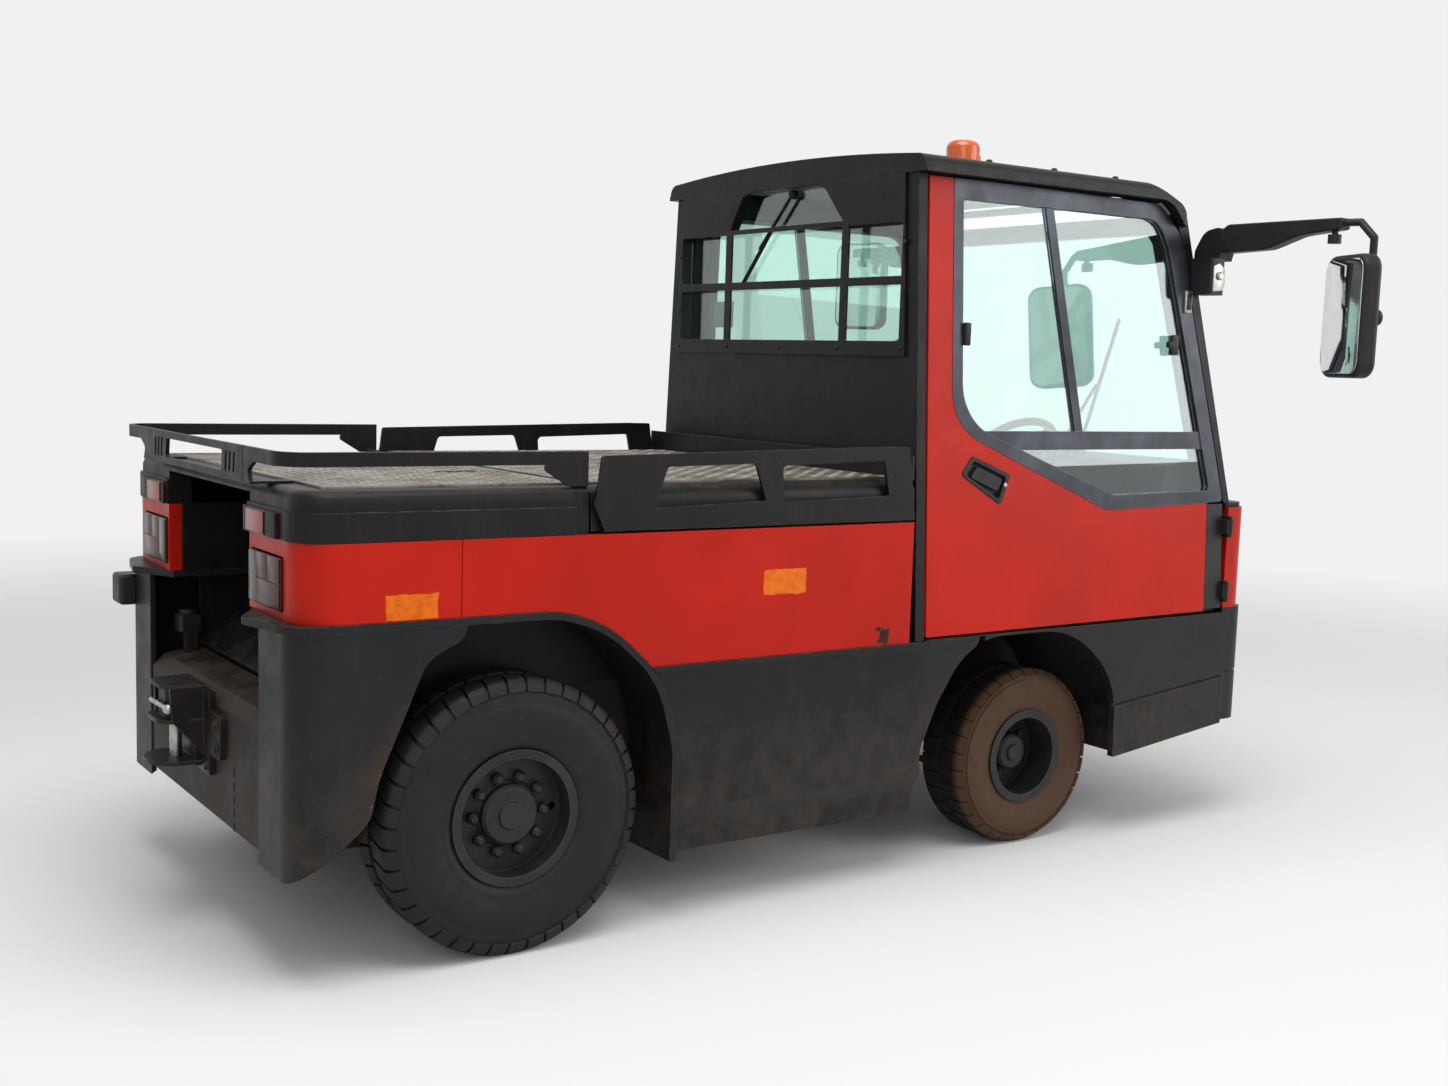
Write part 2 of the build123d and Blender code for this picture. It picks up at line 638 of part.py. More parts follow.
def cab_section(inset, low=600.0, high=2060.0):
    """Everything between the leaning sides of the cab."""
    return cross_plate(
        [(-side_y(low) + inset, low), (side_y(low) - inset, low),
         (side_y(high) - inset, high), (-side_y(high) + inset, high)], 1100, 2900)


# Rear wall with the window opening and the corner posts
rear_wall_low = red_bottom + seat_gap
wall_top = roof_seat_z - seat_gap
wall = block(cab_rear_x, cab_rear_x + cab_wall, -half_width, half_width, rear_wall_low, wall_top) & cab_section(2)
window_points = [(-565, 1500, 20), (565, 1500, 20), (565, 1846, 20), (300, 1846), (222, 1964, 20),
                 (-222, 1964, 20), (-300, 1846), (-565, 1846, 20)]
wall -= cross_plate(window_points, cab_rear_x - 10, cab_rear_x + cab_wall + 10)
save("rear_wall", wall)
glass_points = [(-568, 1497, 20), (568, 1497, 20), (568, 1960, 20), (-568, 1960, 20)]
glass_seat = cab_rear_x + cab_wall + seat_gap
rear_glass = cross_plate(glass_points, glass_seat, glass_seat + screen_thick)

# Guard over the rear window: a frame plate with bars
guard_rear_x = cab_rear_x - guard_thick - seat_gap
guard = block(guard_rear_x, guard_rear_x + guard_thick, -half_width, half_width, 1465, wall_top) & cab_section(50)
guard -= cross_plate([(-562, 1508, 8), (562, 1508, 8), (562, 1838, 8), (-562, 1838, 8)],
                     cab_rear_x - 20, cab_rear_x + 5)
guard -= cross_plate([(-293, 1852), (-206, 1947, 10), (-167, 1966, 20), (166, 1966, 20), (220, 1955, 10),
                      (286, 1852)], cab_rear_x - 20, cab_rear_x + 5)
guard += block(guard_rear_x, guard_rear_x + guard_thick, -562, 562, 1664, 1688)
for y_low, y_high in ((-321, -291), (275, 305)):
    guard += block(guard_rear_x, guard_rear_x + guard_thick, y_low, y_high, 1508, 1838)
save("window_guard", guard)

# Floor pan: foot well between two shelves over the front wheels
floor_front_x = 2550.0
shelf_half = half_width - 42.0
pan = [
    (-shelf_half, shelf_level - floor_thick), (-foot_half, shelf_level - floor_thick), (-foot_half, floor_level),
    (foot_half, floor_level), (foot_half, shelf_level - floor_thick), (shelf_half, shelf_level - floor_thick),
    (shelf_half, shelf_level), (foot_half - floor_thick, shelf_level), (foot_half - floor_thick,
    floor_level + floor_thick), (-foot_half + floor_thick, floor_level + floor_thick),
    (-foot_half + floor_thick, shelf_level), (-shelf_half, shelf_level),
]
save("floor", cross_plate(pan, cab_rear_x + cab_wall + seat_gap, floor_front_x))

# Doors: red panel with its upright strip, window frame and panes
window_low_edge = [(1985, 1024, 120), (1440, 1240, 170), (1352, 1300, 150)]
frame_points = [
    (1352, door_top_z, 8), (2205, door_top_z - 3, 100), (2292, 1872, 60), (2520, 1040, 12), *window_low_edge,
]
frame_clearing = [(1352, 2100), (2700, 2100), (2700, 1045.4), *window_low_edge]
panel_points = [
    (door_rear_x, side_low_z, 6), (door_front_x, side_low_z + 4, 6), (door_front_x + 8, 1100),
    (1500, door_top_z), (door_rear_x, door_top_z, 6),
]
glass_hole = [
    (1386, 1910, 16), (2195, 1912, 90), (2245, 1820, 80), (2455, 1076, 14), (2010, 1070, 100),
    (1470, 1262, 150), (1390, 1330, 150),
]
beyond_side = -half_width - 80
inside_side = -half_width + 180


def side_layer(points, inset, thick, gap=0.0):
    """An outline cut out of the leaning side; the gap takes a rim off the outline."""
    face = outline(points)
    if gap:
        face = offset(face, amount=-gap)
    prism = extrude(side_frame(inside_side) * face, amount=inside_side - beyond_side, dir=(0, -1, 0))
    return prism & leaning_slab(inset, thick)


clearing = offset(outline(frame_clearing), amount=seat_gap)
panel = side_layer(panel_points, 0, door_thick)
panel -= extrude(side_frame(inside_side) * clearing, amount=inside_side - beyond_side, dir=(0, -1, 0))
handle_points = [(1388, 1139, 10), (1429, 1192, 10), (1578, 1137, 10), (1540, 1051, 10)]
panel -= side_layer(handle_points, -2, 20)
save_sides("door", panel)

sill_low = 1208.0
sill_high = 1262.0
sill_points = [(1380, sill_low), (2440, sill_low), (2440, sill_high), (1380, sill_high)]
meeting_bar = [(1710, 1925), (1742, 1925), (1882, 1250), (1850, 1250)]
frame_ring = side_layer(frame_points, -2, door_thick)
frame_ring -= side_plate(glass_hole, beyond_side, inside_side)
bars_in_hole = side_layer(glass_hole, 2, 26, -3) & (side_layer(sill_points, 2, 26) + side_layer(meeting_bar, 4, 22))
frame_ring += bars_in_hole
save_sides("door_trim", frame_ring)
panes = side_layer(glass_hole, 12, 5, seat_gap)
for bar in (sill_points, meeting_bar):
    panes -= extrude(side_frame(inside_side) * offset(outline(bar), amount=seat_gap, kind=Kind.INTERSECTION),
                     amount=inside_side - beyond_side, dir=(0, -1, 0))
save_sides("door_glass", Compound(panes.solids()))

# Door handle: a dished plate with its grip
handle = side_layer(handle_points, -3, 20.7, seat_gap)
handle -= side_layer([(1404, 1139, 8), (1434, 1178, 8), (1562, 1130, 8), (1532, 1067, 8)], -10, 22)
handle += side_layer([(1424, 1131, 8), (1452, 1162, 8), (1552, 1124, 8), (1530, 1090, 8)], 1, 12)

# Hinge covers in front of the doors
cover_front_x = hinge_x - 8
hinge_cover = side_layer([(door_front_x + 1, 696), (cover_front_x, 696, 4), (cover_front_x, 1032, 4),
                          (door_front_x + 8, 1032)], 0, 26)
barrel_radius = 9.0
barrel_height = 50.0
hinge_pin_radius = 5.0
lug_height = 8.0
hinge_levels = (750.0, 960.0)
for level in hinge_levels:
    barrel = Pos(hinge_x, -hinge_y, level) * Cylinder(barrel_radius, barrel_height)
    barrel += block(hinge_x - 16, hinge_x, -hinge_y - 2, -hinge_y + 26, level - 22, level + 22) - cab_section(0)
    hinge_cover += barrel - Pos(hinge_x, -hinge_y, level) * Cylinder(hinge_pin_radius + seat_gap, 80)
save_sides("door_fittings", Compound([*handle.solids(), *hinge_cover.solids()]))

# Side frames behind the doors, with the windscreen pillars
jamb_inset = door_thick + panel_gap
jamb_rear_x = glass_seat + screen_thick + seat_gap
jamb_front_x = 2546.0
jamb_points = [
    (jamb_rear_x, shelf_level + seat_gap), (jamb_front_x, shelf_level + seat_gap), (jamb_front_x, 1050),
    (2326, 1896, 40), (2304, wall_top), (jamb_rear_x, wall_top),
]
jamb_hole = [
    (1340, 745, 20), (2440, 745, 20), (2466, 1050, 20), (2236, 1850, 60), (2190, 1915, 40), (1330, 1915, 40),
]
jamb_thick = 30.0
jamb = side_layer(jamb_points, jamb_inset, jamb_thick) - side_plate(jamb_hole, beyond_side, inside_side)
screen_hole = [(-588, 1110, 50), (588, 1110, 50), (552, 1880, 50), (-552, 1880, 50)]
jamb -= cross_plate(screen_hole, 2000, 2900)

# Windscreen with its surround
screen_rise = screen_high_z - screen_low_z
screen_slope = (screen_high_x - screen_low_x) / screen_rise


def screen_x(z):
    """The outer face of the windscreen at a height."""
    return screen_low_x + screen_slope * (z - screen_low_z)


def screen_slab(inset, thick, low, high):
    return side_plate([(screen_x(low) - inset, low), (screen_x(high) - inset, high),
                       (screen_x(high) - inset - thick, high), (screen_x(low) - inset - thick, low)], -800, 800)


surround = screen_slab(0, 46, 1034, 1935) & cab_section(1)
surround -= cross_plate(screen_hole, 2000, 2900)
door_space = side_plate([(1200, 600), (2534, 600), (2534, 1034), (2528, 1042), (2299, 1876, 60),
                         (2209, door_top_z + 5, 100), (1200, door_top_z + 5)], -half_width - 100, half_width + 100)
surround -= door_space & (cab_section(-20) - cab_section(jamb_inset + jamb_thick))
lug_end_y = -side_low_y + jamb_inset + 26
lug_plan = [(hinge_x - barrel_radius, -hinge_y - barrel_radius, 8), (hinge_x + barrel_radius, -hinge_y - 4, 6),
            (hinge_x + 15, lug_end_y), (hinge_x - 1, lug_end_y), (hinge_x - 1, -hinge_y + barrel_radius + 4, 3),
            (hinge_x - barrel_radius, -hinge_y + barrel_radius, 4)]
for level in hinge_levels:
    for low in (level - barrel_height / 2 - 1 - lug_height, level + barrel_height / 2 + 1):
        jamb += plan_plate(lug_plan, low, low + lug_height)
    jamb += Pos(hinge_x, -hinge_y, level) * Cylinder(hinge_pin_radius, barrel_height + 2 * lug_height)
save("cab_frame", surround + jamb + other_side(jamb))
screen_face = offset(outline(screen_hole), amount=-seat_gap)
windscreen = screen_slab(16, screen_thick, 1100, 1890) & extrude(
    cross_frame(2000) * screen_face, amount=900, dir=(1, 0, 0))
save("cab_glass", Compound([*rear_glass.solids(), *windscreen.solids()]))

# Roof: a crowned shell with a rolled nose, rounded front corners and a lip along its lower edge
roof_half = 646.0
roof_lip_out = 5.0
roof_corner = 100.0
roof_front_x = 2350.0
roof_under = [(guard_rear_x, roof_seat_z), (2207, roof_seat_z, 100), (2270, 1905), (2336, 1896)]
roof_over = [(roof_front_x, 1903, 4), (2264, 1962, 120), (2105, 2026, 300), (1950, 2060), (guard_rear_x, 2060)]
crown_low = 1990.0
crown_shoulder = (610.0, 2018.0)
crown_top = 2044.0


def roof_plan(half, low, high):
    return plan_plate([(guard_rear_x, -half), (roof_front_x, -half, roof_corner), (roof_front_x, half, roof_corner),
                       (guard_rear_x, half)], low, high)


def make_roof():
    section = cross_frame(1000)
    half_shoulder, shoulder_z = crown_shoulder
    crown = make_face([
        section * Line((-roof_half, 1880), (-roof_half, crown_low)),
        section * ThreePointArc((-roof_half, crown_low), (-roof_half + 10, crown_low + 18), (-half_shoulder, shoulder_z)),
        section * ThreePointArc((-half_shoulder, shoulder_z), (0, crown_top), (half_shoulder, shoulder_z)),
        section * ThreePointArc((half_shoulder, shoulder_z), (roof_half - 10, crown_low + 18), (roof_half, crown_low)),
        section * Line((roof_half, crown_low), (roof_half, 1880)),
        section * Line((roof_half, 1880), (-roof_half, 1880)),
    ])
    shell = side_plate(roof_under + roof_over, -roof_half, roof_half)
    shell &= extrude(crown, amount=1600, dir=(1, 0, 0)) & roof_plan(roof_half, 1880, 2100)
    lip_top = [(2277, 1914), (2209, roof_seat_z + 14, 105), (guard_rear_x, roof_seat_z + 14)]
    lip = side_plate(roof_under[:3] + lip_top, -roof_half - roof_lip_out, roof_half + roof_lip_out)
    shell += (lip & roof_plan(roof_half + roof_lip_out, 1880, 2100)) - block(1300, 2400, -620, 620, 1880, 2100)
    shell -= block(cab_rear_x + 40, 2200, -580, 580, 1900, 1992)
    behind_screen = screen_slab(-0.4, 200, 1700, 2100) & block(2000, 2400, -800, 800, 1800, roof_seat_z + 0.1)
    return shell - (behind_screen & cab_section(-3))


save("roof", make_roof())

# Front: red panel round the nose, dark lower nose, sides with the front wheel arches
nose_radius = 70.0
front_side_x = 2556.0
front_y = half_width - 20.0
nose_low = 318.0
nose_seam = 691.7


def nose_plan(face_x, y, thick, radius):
    """A U in plan: the right side, the rounded face and the left side."""
    return [
        (front_side_x, -y), (face_x, -y, radius), (face_x, y, radius), (front_side_x, y),
        (front_side_x, y - thick), (face_x - thick, y - thick, radius - thick),
        (face_x - thick, -y + thick, radius - thick), (front_side_x, -y + thick),
    ]


headlamp_y = 480.0
headlamp_z = 860.0
headlamp_radius = 78.0
front_panel = plan_plate(nose_plan(red_nose_face, front_y, skin, nose_radius), nose_seam + seat_gap, 1019)
for y in (-headlamp_y, headlamp_y):
    front_panel -= Pos(red_nose_face, y, headlamp_z) * Rot(0, 90, 0) * Cylinder(headlamp_radius + seat_gap, 24)
save("front_panel", front_panel)
cowl_y = front_y - 8
cowl_face_x = red_nose_face - 8
cowl = plan_plate(
    [(2526, -580), (2550, -580), (2550, -cowl_y, 8), (cowl_face_x, -cowl_y, nose_radius - 8),
     (cowl_face_x, cowl_y, nose_radius - 8), (2550, cowl_y, 8), (2550, 580), (2526, 580)], 1019.3, 1033.7)
save("cowl", cowl)
front_lower = plan_plate(nose_plan(front_face, front_y, skin, nose_radius), nose_low, nose_seam)
bumper_groove = plan_plate(nose_plan(front_face + 1, front_y + 1, 7, nose_radius + 1), 474, 482)
save("front_lower", front_lower - bumper_groove)

# Sides of the front: the wheel arch, and a fold between the upper and the lower part
front_end_x = front_side_x - seat_gap
front_side = side_plate([(1440, red_bottom + 3), (front_end_x, red_bottom + 3), (front_end_x, nose_low - 4),
                         (2058, 256), (1262, 256), (1262, red_bottom + 3)], -half_width, -half_width + skin)
front_side -= arch_cut(front_arch)
front_side -= block(1000, 1490, -half_width - 18, -half_width + 82, 100, red_bottom)
front_side -= side_plate([(2030, 414), (front_end_x + 5, 468), (front_end_x + 5, 478), (2030, 424)],
                         -half_width - 5, -half_width + 10)
liner_thick = 6.0
liner_top = 677.0
liner_rear_x = 1272.0
liner_front_x = 2112.0   # the corner of a steered tyre swings this far forward
liner_reach = [
    (liner_rear_x, 100), (liner_rear_x, 350, 130), (1430, liner_top, 180), (1900, liner_top, 300),
    (liner_front_x, 470, 240), (liner_front_x, 100),
]
liner_room = [
    (liner_rear_x + liner_thick, 90), (liner_rear_x + liner_thick, 349, 124), (1434, liner_top - liner_thick, 174),
    (1897, liner_top - liner_thick, 294), (liner_front_x - liner_thick, 467, 234), (liner_front_x - liner_thick, 90),
]
front_liner = side_plate(liner_reach, -half_width + skin, -nose_half - 40)
front_liner -= side_plate(liner_room, -half_width - 80, 0)
front_liner &= block(1200, 2200, -half_width - 80, 0, 256, 700)
front_liner -= block(1200, 1470, -half_width - 18, -half_width + 93, 200, red_bottom)
save_both("front_fenders", front_side + front_liner)

# Headlamps in the red panel's face
headlamp = Pos(red_nose_face - 6, -headlamp_y, headlamp_z) * Rot(0, 90, 0) * Cylinder(headlamp_radius, 11)
save_both("headlamps", headlamp)

# Cab fittings
dash = side_plate([(2296, 1000, 30), (2320, 1150, 40), (2464, 1172, 20), (2492, 1060), (2492, 860),
                   (2410, 860, 20)], -half_width, half_width) & cab_section(jamb_inset + jamb_thick + seat_gap)
seat_x = 1500.0
seat_level = 900.0
save("seat_base", block(seat_x - 190, seat_x + 190, -200, 200, floor_level + floor_thick + seat_gap, seat_level))
cushion = block(seat_x - 230, seat_x + 250, -250, 250, seat_level + seat_gap, 1000)
cushion = fillet(cushion.edges().filter_by(Axis.Z), 40)
back = side_plate([(seat_x - 240, 1000.6), (seat_x - 130, 1000.6), (seat_x - 150, 1240, 20),
                   (seat_x - 230, 1240, 20)], -240, 240)
save("seat", Compound([*cushion.solids(), *back.solids()]))
wheel_centre = Vector(2190, 0, 1130)
column_end = Vector(2330, 0, 990)
column_line = wheel_centre - column_end
column_radius = 28.0
column = rod(tuple(column_end), tuple(wheel_centre), column_radius)
steer_plane = Plane(origin=wheel_centre, z_dir=column_line)
steering = column + steer_plane * Torus(190, 14) + steer_plane * Cylinder(40, 30)
for angle in (90, 210, 330):
    steering += steer_plane * Rot(0, 0, angle) * Pos(95, 0, 0) * Box(184, 22, 8)
save("steering", steering)
save("dash", dash - rod(tuple(column_end - column_line * 0.02), tuple(wheel_centre), column_radius + seat_gap))

# Mirrors on their arms, (head centre x, distance from the middle, z) for the right and the left
arm_x = 2411.0
arm_z = 1892.0
tube_radius = 11.0
sleeve_half = 24.0


def make_mirror(mirror_x, mirror_y, mirror_z):
    """Bracket box, hooded knuckle, tapered sleeve, bent tube, boss and head of a right-hand mirror."""
    turn = math.radians(mirror_turn)
    head_plane = Plane(origin=(mirror_x, -mirror_y, mirror_z), x_dir=(math.sin(turn), math.cos(turn), 0),
                       z_dir=(-math.cos(turn), math.sin(turn), 0))
    head = extrude(head_plane * RectangleRounded(mirror_width, mirror_height, 45), amount=-mirror_depth)
    head = fillet(head.faces().sort_by(Axis.X)[-1].edges(), 16)
    back_out = Vector(math.cos(turn), -math.sin(turn), 0)
    boss_foot = Vector(mirror_x, -mirror_y, mirror_z) + back_out * (mirror_depth - 1)
    boss_end = boss_foot + back_out * 66
    tube_foot = boss_foot + back_out * 30
    sleeve_end = mirror_y - 50
    sleeve = cross_plate(
        [(-664, 1820), (-672, 1872, 30), (-720, arm_z + 14, 30), (-sleeve_end, arm_z + 13, 6),
         (-sleeve_end, arm_z - 20, 8), (-sleeve_end + 140, arm_z - 33, 120), (-sleeve_end + 250, 1824, 120),
         (-720, 1819)], arm_x - sleeve_half, arm_x + sleeve_half)
    sleeve = fillet(sleeve.faces().sort_by(Axis.X)[-1].edges() + sleeve.faces().sort_by(Axis.X)[0].edges(), 5)
    hood = cross_plate(
        [(-604, 1796), (-606, 1830, 30), (-640, 1888, 50), (-704, 1900, 20), (-716, 1850, 10), (-700, 1796)],
        arm_x - sleeve_half - 7, arm_x + sleeve_half + 7)
    box = block(2350, 2412, -702, -560, 1690, 1803) - cab_section(1 - seat_gap)
    box = fillet(box.edges().filter_by(Axis.Z).group_by(Axis.Y)[0], 8)
    corner = Vector(tube_foot.X, tube_foot.Y + 46, arm_z)
    drop = Vector(tube_foot.X, tube_foot.Y, arm_z - 46)
    tube = rod((arm_x, -sleeve_end + 20, arm_z), tuple(corner), tube_radius)
    tube += rod(tuple(corner), tuple(drop), tube_radius)
    tube += rod(tuple(drop), (tube_foot.X, tube_foot.Y, mirror_z), tube_radius)
    tube += Pos(*corner) * Sphere(tube_radius) + Pos(*drop) * Sphere(tube_radius)
    boss = rod(tuple(boss_foot), tuple(boss_end), 24)
    boss = fillet(boss.edges().filter_by(GeomType.CIRCLE).sort_by(Axis.X)[-1], 12)
    knob = Pos(arm_x, -sleeve_end + 34, arm_z - 46) * Cylinder(19, 26)
    knob += Pos(arm_x, -sleeve_end + 34, arm_z - 28) * Cylinder(9, 24)
    return box + hood + sleeve + tube + boss + knob + head


right_mirror = make_mirror(2350, 1170, 1620)
left_mirror = other_side(make_mirror(2466, 1170, 1763))
save("mirrors", Compound([*right_mirror.solids(), *left_mirror.solids()]))

# Beacon: a base plate and a low ribbed lens
beacon_x = 1936.0
beacon_radius = 55.0
beacon_top = 2180.0
lens_low = crown_top + seat_gap + 22
lens = Pos(beacon_x, 0, (lens_low + beacon_top) / 2) * Cylinder(beacon_radius, beacon_top - lens_low)
lens = fillet(lens.faces().sort_by(Axis.Z)[-1].edges(), 26)
for number in range(12):
    angle = 2 * math.pi * (number + 0.5) / 12
    lens += Pos(beacon_x + beacon_radius * math.cos(angle), beacon_radius * math.sin(angle),
                lens_low + 34) * Cylinder(3, 62)
foot = Pos(beacon_x, 0, crown_top + seat_gap + 11) * Cylinder(beacon_radius + 6, 22)
save("beacon", lens + foot)

# Tow coupling: flange on the rear beam, cheeks, three plates, the head over the jaw, pin and lever
flange_x = beam_outer - seat_gap
jaw_low = 414.0          # between the two lower plates
jaw_high = 508.0
head_top = 602.0
jaw_rear_x = pin_x - jaw_reach
jaw_half = 86.0


def jaw_plate(half, reach_x, round_by, low, high):
    """A plate that is broad at the flange and rounded behind the pin."""
    return plan_plate([(reach_x, -half + 12, round_by), (flange_x - 10, -half), (flange_x - 10, half),
                       (reach_x, half - 12, round_by)], low, high)


def make_coupling():
    body = block(flange_x - 16, flange_x, -205, 205, 436, 546)
    body = fillet(body.edges().filter_by(Axis.X), 14)
    body += block(flange_x - 16, flange_x, -118, 118, 382, 590)
    body += block(flange_x - 34, flange_x - 10, -64, 64, 396, head_top - 8)
    body += jaw_plate(jaw_half, jaw_rear_x, 70, jaw_low - 10, jaw_low)
    body += jaw_plate(jaw_half - 4, jaw_rear_x + 16, 44, jaw_high, jaw_high + 10)
    body += jaw_plate(jaw_half - 10, jaw_rear_x + 24, 40, head_top - 8, head_top)
    for y in (-72, 72):
        cheek = side_plate([(jaw_rear_x + 46, jaw_high + 5), (flange_x - 10, jaw_low + 4), (flange_x - 10, head_top - 4),
                            (jaw_rear_x + 40, head_top - 4)], y - 5, y + 5)
        body += cheek
    head = block(pin_x - 34, flange_x - 10, -38, 38, jaw_high + 5, head_top - 4)
    body += fillet(head.edges().filter_by(Axis.Z), 14)
    return body - Pos(pin_x, 0, 490) * Cylinder(pin_radius + seat_gap, 176)


save("coupling", make_coupling())
pin = Pos(pin_x, 0, (jaw_low + jaw_high) / 2 + 10) * Cylinder(pin_radius, jaw_high - jaw_low + 70)
lever = rod((pin_x - 44, 58, 548), (pin_x - 44, -96, 552), 6)
lever += Pos(pin_x - 44, -96, 552) * Rot(0, 0, 0) * Sphere(13)
lever += rod((pin_x - 44, 0, 549), (pin_x - 34.3, 0, 549), 8)
save("coupling_pin", Compound([*pin.solids(), *lever.solids()]))

# Fittings of the left tower: a rubber buffer on the corner and a capped socket on its post
tower_plan = plan_plate([(lower_rear_face, lower_recess_half), (lower_rear_face, half_width, 78), (0, half_width),
                         (0, lower_recess_half)], 600, 900)
buffer_high = ledge_top - ledge_thick - 26
buffer = block(-594, -518, half_width - 72, half_width + 18, buffer_high - 86, buffer_high)
buffer = fillet(buffer.edges(), 12) - plan_plate(
    [(lower_rear_face - seat_gap, lower_recess_half - 10), (lower_rear_face - seat_gap, half_width + seat_gap, 78),
     (50, half_width + seat_gap), (50, lower_recess_half - 10)], 600, 900)
post = side_plate([(-474, 597.6), (-442, 603.1), (-442, 660), (-474, 660)], frame_half - 54, frame_half - 24)
socket = block(-490, -426, frame_half - 52, frame_half + 8, 655, 702)
socket = fillet(socket.edges().filter_by(Axis.Z), 10)
socket += Pos(-458, frame_half - 22, 708) * Cylinder(26, 14)
save("tower_fittings", Compound([*buffer.solids(), *(post + socket).solids()]))
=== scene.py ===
# Finishes, tread, plates, lamps and trim for the airport tow tractor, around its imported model
import json
import math

import bmesh
import bpy
from mathutils import Matrix, Vector


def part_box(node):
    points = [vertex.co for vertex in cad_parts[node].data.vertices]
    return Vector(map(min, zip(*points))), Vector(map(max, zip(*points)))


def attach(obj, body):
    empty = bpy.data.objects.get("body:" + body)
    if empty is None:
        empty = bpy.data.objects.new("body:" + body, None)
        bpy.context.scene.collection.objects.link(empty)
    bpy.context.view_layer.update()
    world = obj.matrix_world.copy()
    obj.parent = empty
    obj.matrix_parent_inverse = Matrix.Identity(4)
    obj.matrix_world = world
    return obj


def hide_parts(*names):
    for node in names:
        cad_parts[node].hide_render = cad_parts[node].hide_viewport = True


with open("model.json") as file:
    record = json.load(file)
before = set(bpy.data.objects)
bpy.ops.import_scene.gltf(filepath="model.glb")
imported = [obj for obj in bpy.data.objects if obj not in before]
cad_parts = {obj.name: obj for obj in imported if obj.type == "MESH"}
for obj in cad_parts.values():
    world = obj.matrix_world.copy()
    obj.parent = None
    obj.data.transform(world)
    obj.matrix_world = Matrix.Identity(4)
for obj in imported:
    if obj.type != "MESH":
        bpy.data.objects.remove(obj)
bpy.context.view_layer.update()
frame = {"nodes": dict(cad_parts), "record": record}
nodes = frame["nodes"]
print("frame loaded")


# Shared helpers
def linear(code):  # sRGB hex to the linear colour that a socket takes
    parts = [int(code[i:i + 2], 16) / 255 for i in (1, 3, 5)]
    return tuple(c / 12.92 if c <= 0.04045 else ((c + 0.055) / 1.055) ** 2.4 for c in parts) + (1.0,)


# One node with its settings, and a value or another node's output for each input that is named
def addNode(tree, kind, settings=None, links=None):
    node = tree.nodes.new(kind)
    for key, value in (settings or {}).items():
        setattr(node, key, value)
    for key, value in (links or {}).items():
        if isinstance(value, bpy.types.NodeSocket):
            tree.links.new(value, node.inputs[key])
        else:
            node.inputs[key].default_value = value
    return node


def newMaterial(name, settings):  # a material and its shader, whose even values are set on its own sockets
    material = bpy.data.materials.new(name)
    material.use_nodes = True
    tree = material.node_tree
    tree.nodes.clear()
    shader = addNode(tree, "ShaderNodeBsdfPrincipled", links=settings)
    output = addNode(tree, "ShaderNodeOutputMaterial", links={"Surface": shader.outputs[0]})
    return material, tree, shader, output


# A blotchy mask from 0 to 1, cut from noise between two of its levels
def mottled(tree, place, scale, low, high, detail=5.0, rough=0.62):
    field = addNode(tree, "ShaderNodeTexNoise", links={
        "Vector": place, "Scale": scale, "Detail": detail, "Roughness": rough})
    return addNode(tree, "ShaderNodeMapRange", {"interpolation_type": "SMOOTHSTEP"}, {
        0: field.outputs["Fac"], 1: low, 2: high}).outputs[0]


def covered(tree, colour, cover, mask, share=1.0):  # a colour laid over another, as far as mask and share say
    amount = addNode(tree, "ShaderNodeMath", {"operation": "MULTIPLY", "use_clamp": True}, {
        0: mask, 1: share})
    return addNode(tree, "ShaderNodeMix", {"data_type": "RGBA"}, {
        0: amount.outputs[0], 6: colour, 7: cover}).outputs[2]


def relief(tree, shader, place, look, under=None):  # roughness in blotches, a fine bump and rounded edges
    rough = addNode(tree, "ShaderNodeMapRange", links={
        0: mottled(tree, place, 14.0, 0.25, 0.75), 3: look["rough"][0], 4: look["rough"][1]})
    tree.links.new(rough.outputs[0], shader.inputs["Roughness"])
    grain = addNode(tree, "ShaderNodeTexNoise", links={
        "Vector": place, "Scale": look.get("grain", 260.0), "Detail": 3.0, "Roughness": 0.6})
    bump = addNode(tree, "ShaderNodeBump", links={
        "Height": grain.outputs["Fac"], "Strength": 0.4, "Distance": look.get("depth", 0.0006)})
    if under is None:
        rounded = addNode(tree, "ShaderNodeBevel", {"samples": 4}, {"Radius": look.get("edge", 0.003)})
        under = rounded.outputs[0]
    tree.links.new(under, bump.inputs["Normal"])
    tree.links.new(bump.outputs[0], shader.inputs["Normal"])


# A plain finish in two tones with grime in its hollows
def twoTone(name, look):
    material, tree, shader, output = newMaterial(name, look["shader"])
    place = addNode(tree, "ShaderNodeTexCoord").outputs["Object"]
    colour = covered(tree, linear(look["base"]), linear(look["second"]),
                     mottled(tree, place, look.get("patches", 9.0), 0.35, 0.68))
    if "grime" in look:
        grime = mottled(tree, place, look["grimeScale"], look["grimeFrom"], look["grimeFrom"] + 0.2, 6.0, 0.72)
        colour = covered(tree, colour, linear(look["grime"]), grime)
    # Edge colour from the rounded normal: rubbed-through wear on most finishes, a painted highlight on the
    # window frame
    if "wearAndPaintedHighlight" in look:
        rounded = addNode(tree, "ShaderNodeBevel", {"samples": 6}, {"Radius": look.get("edge", 0.003)})
        facing = addNode(tree, "ShaderNodeNewGeometry")
        along = addNode(tree, "ShaderNodeVectorMath", {"operation": "DOT_PRODUCT"}, {
            0: rounded.outputs[0], 1: facing.outputs["Normal"]})
        bent = addNode(tree, "ShaderNodeMapRange", {"interpolation_type": "SMOOTHSTEP"}, {
            0: along.outputs["Value"], 1: 0.985, 2: 0.87})
        colour = covered(tree, colour, linear(look["wearAndPaintedHighlight"]), bent.outputs[0], look.get("wearAndPaintedHighlightShare", 0.6))
    tree.links.new(colour, shader.inputs["Base Color"])
    relief(tree, shader, place, look)
    return material


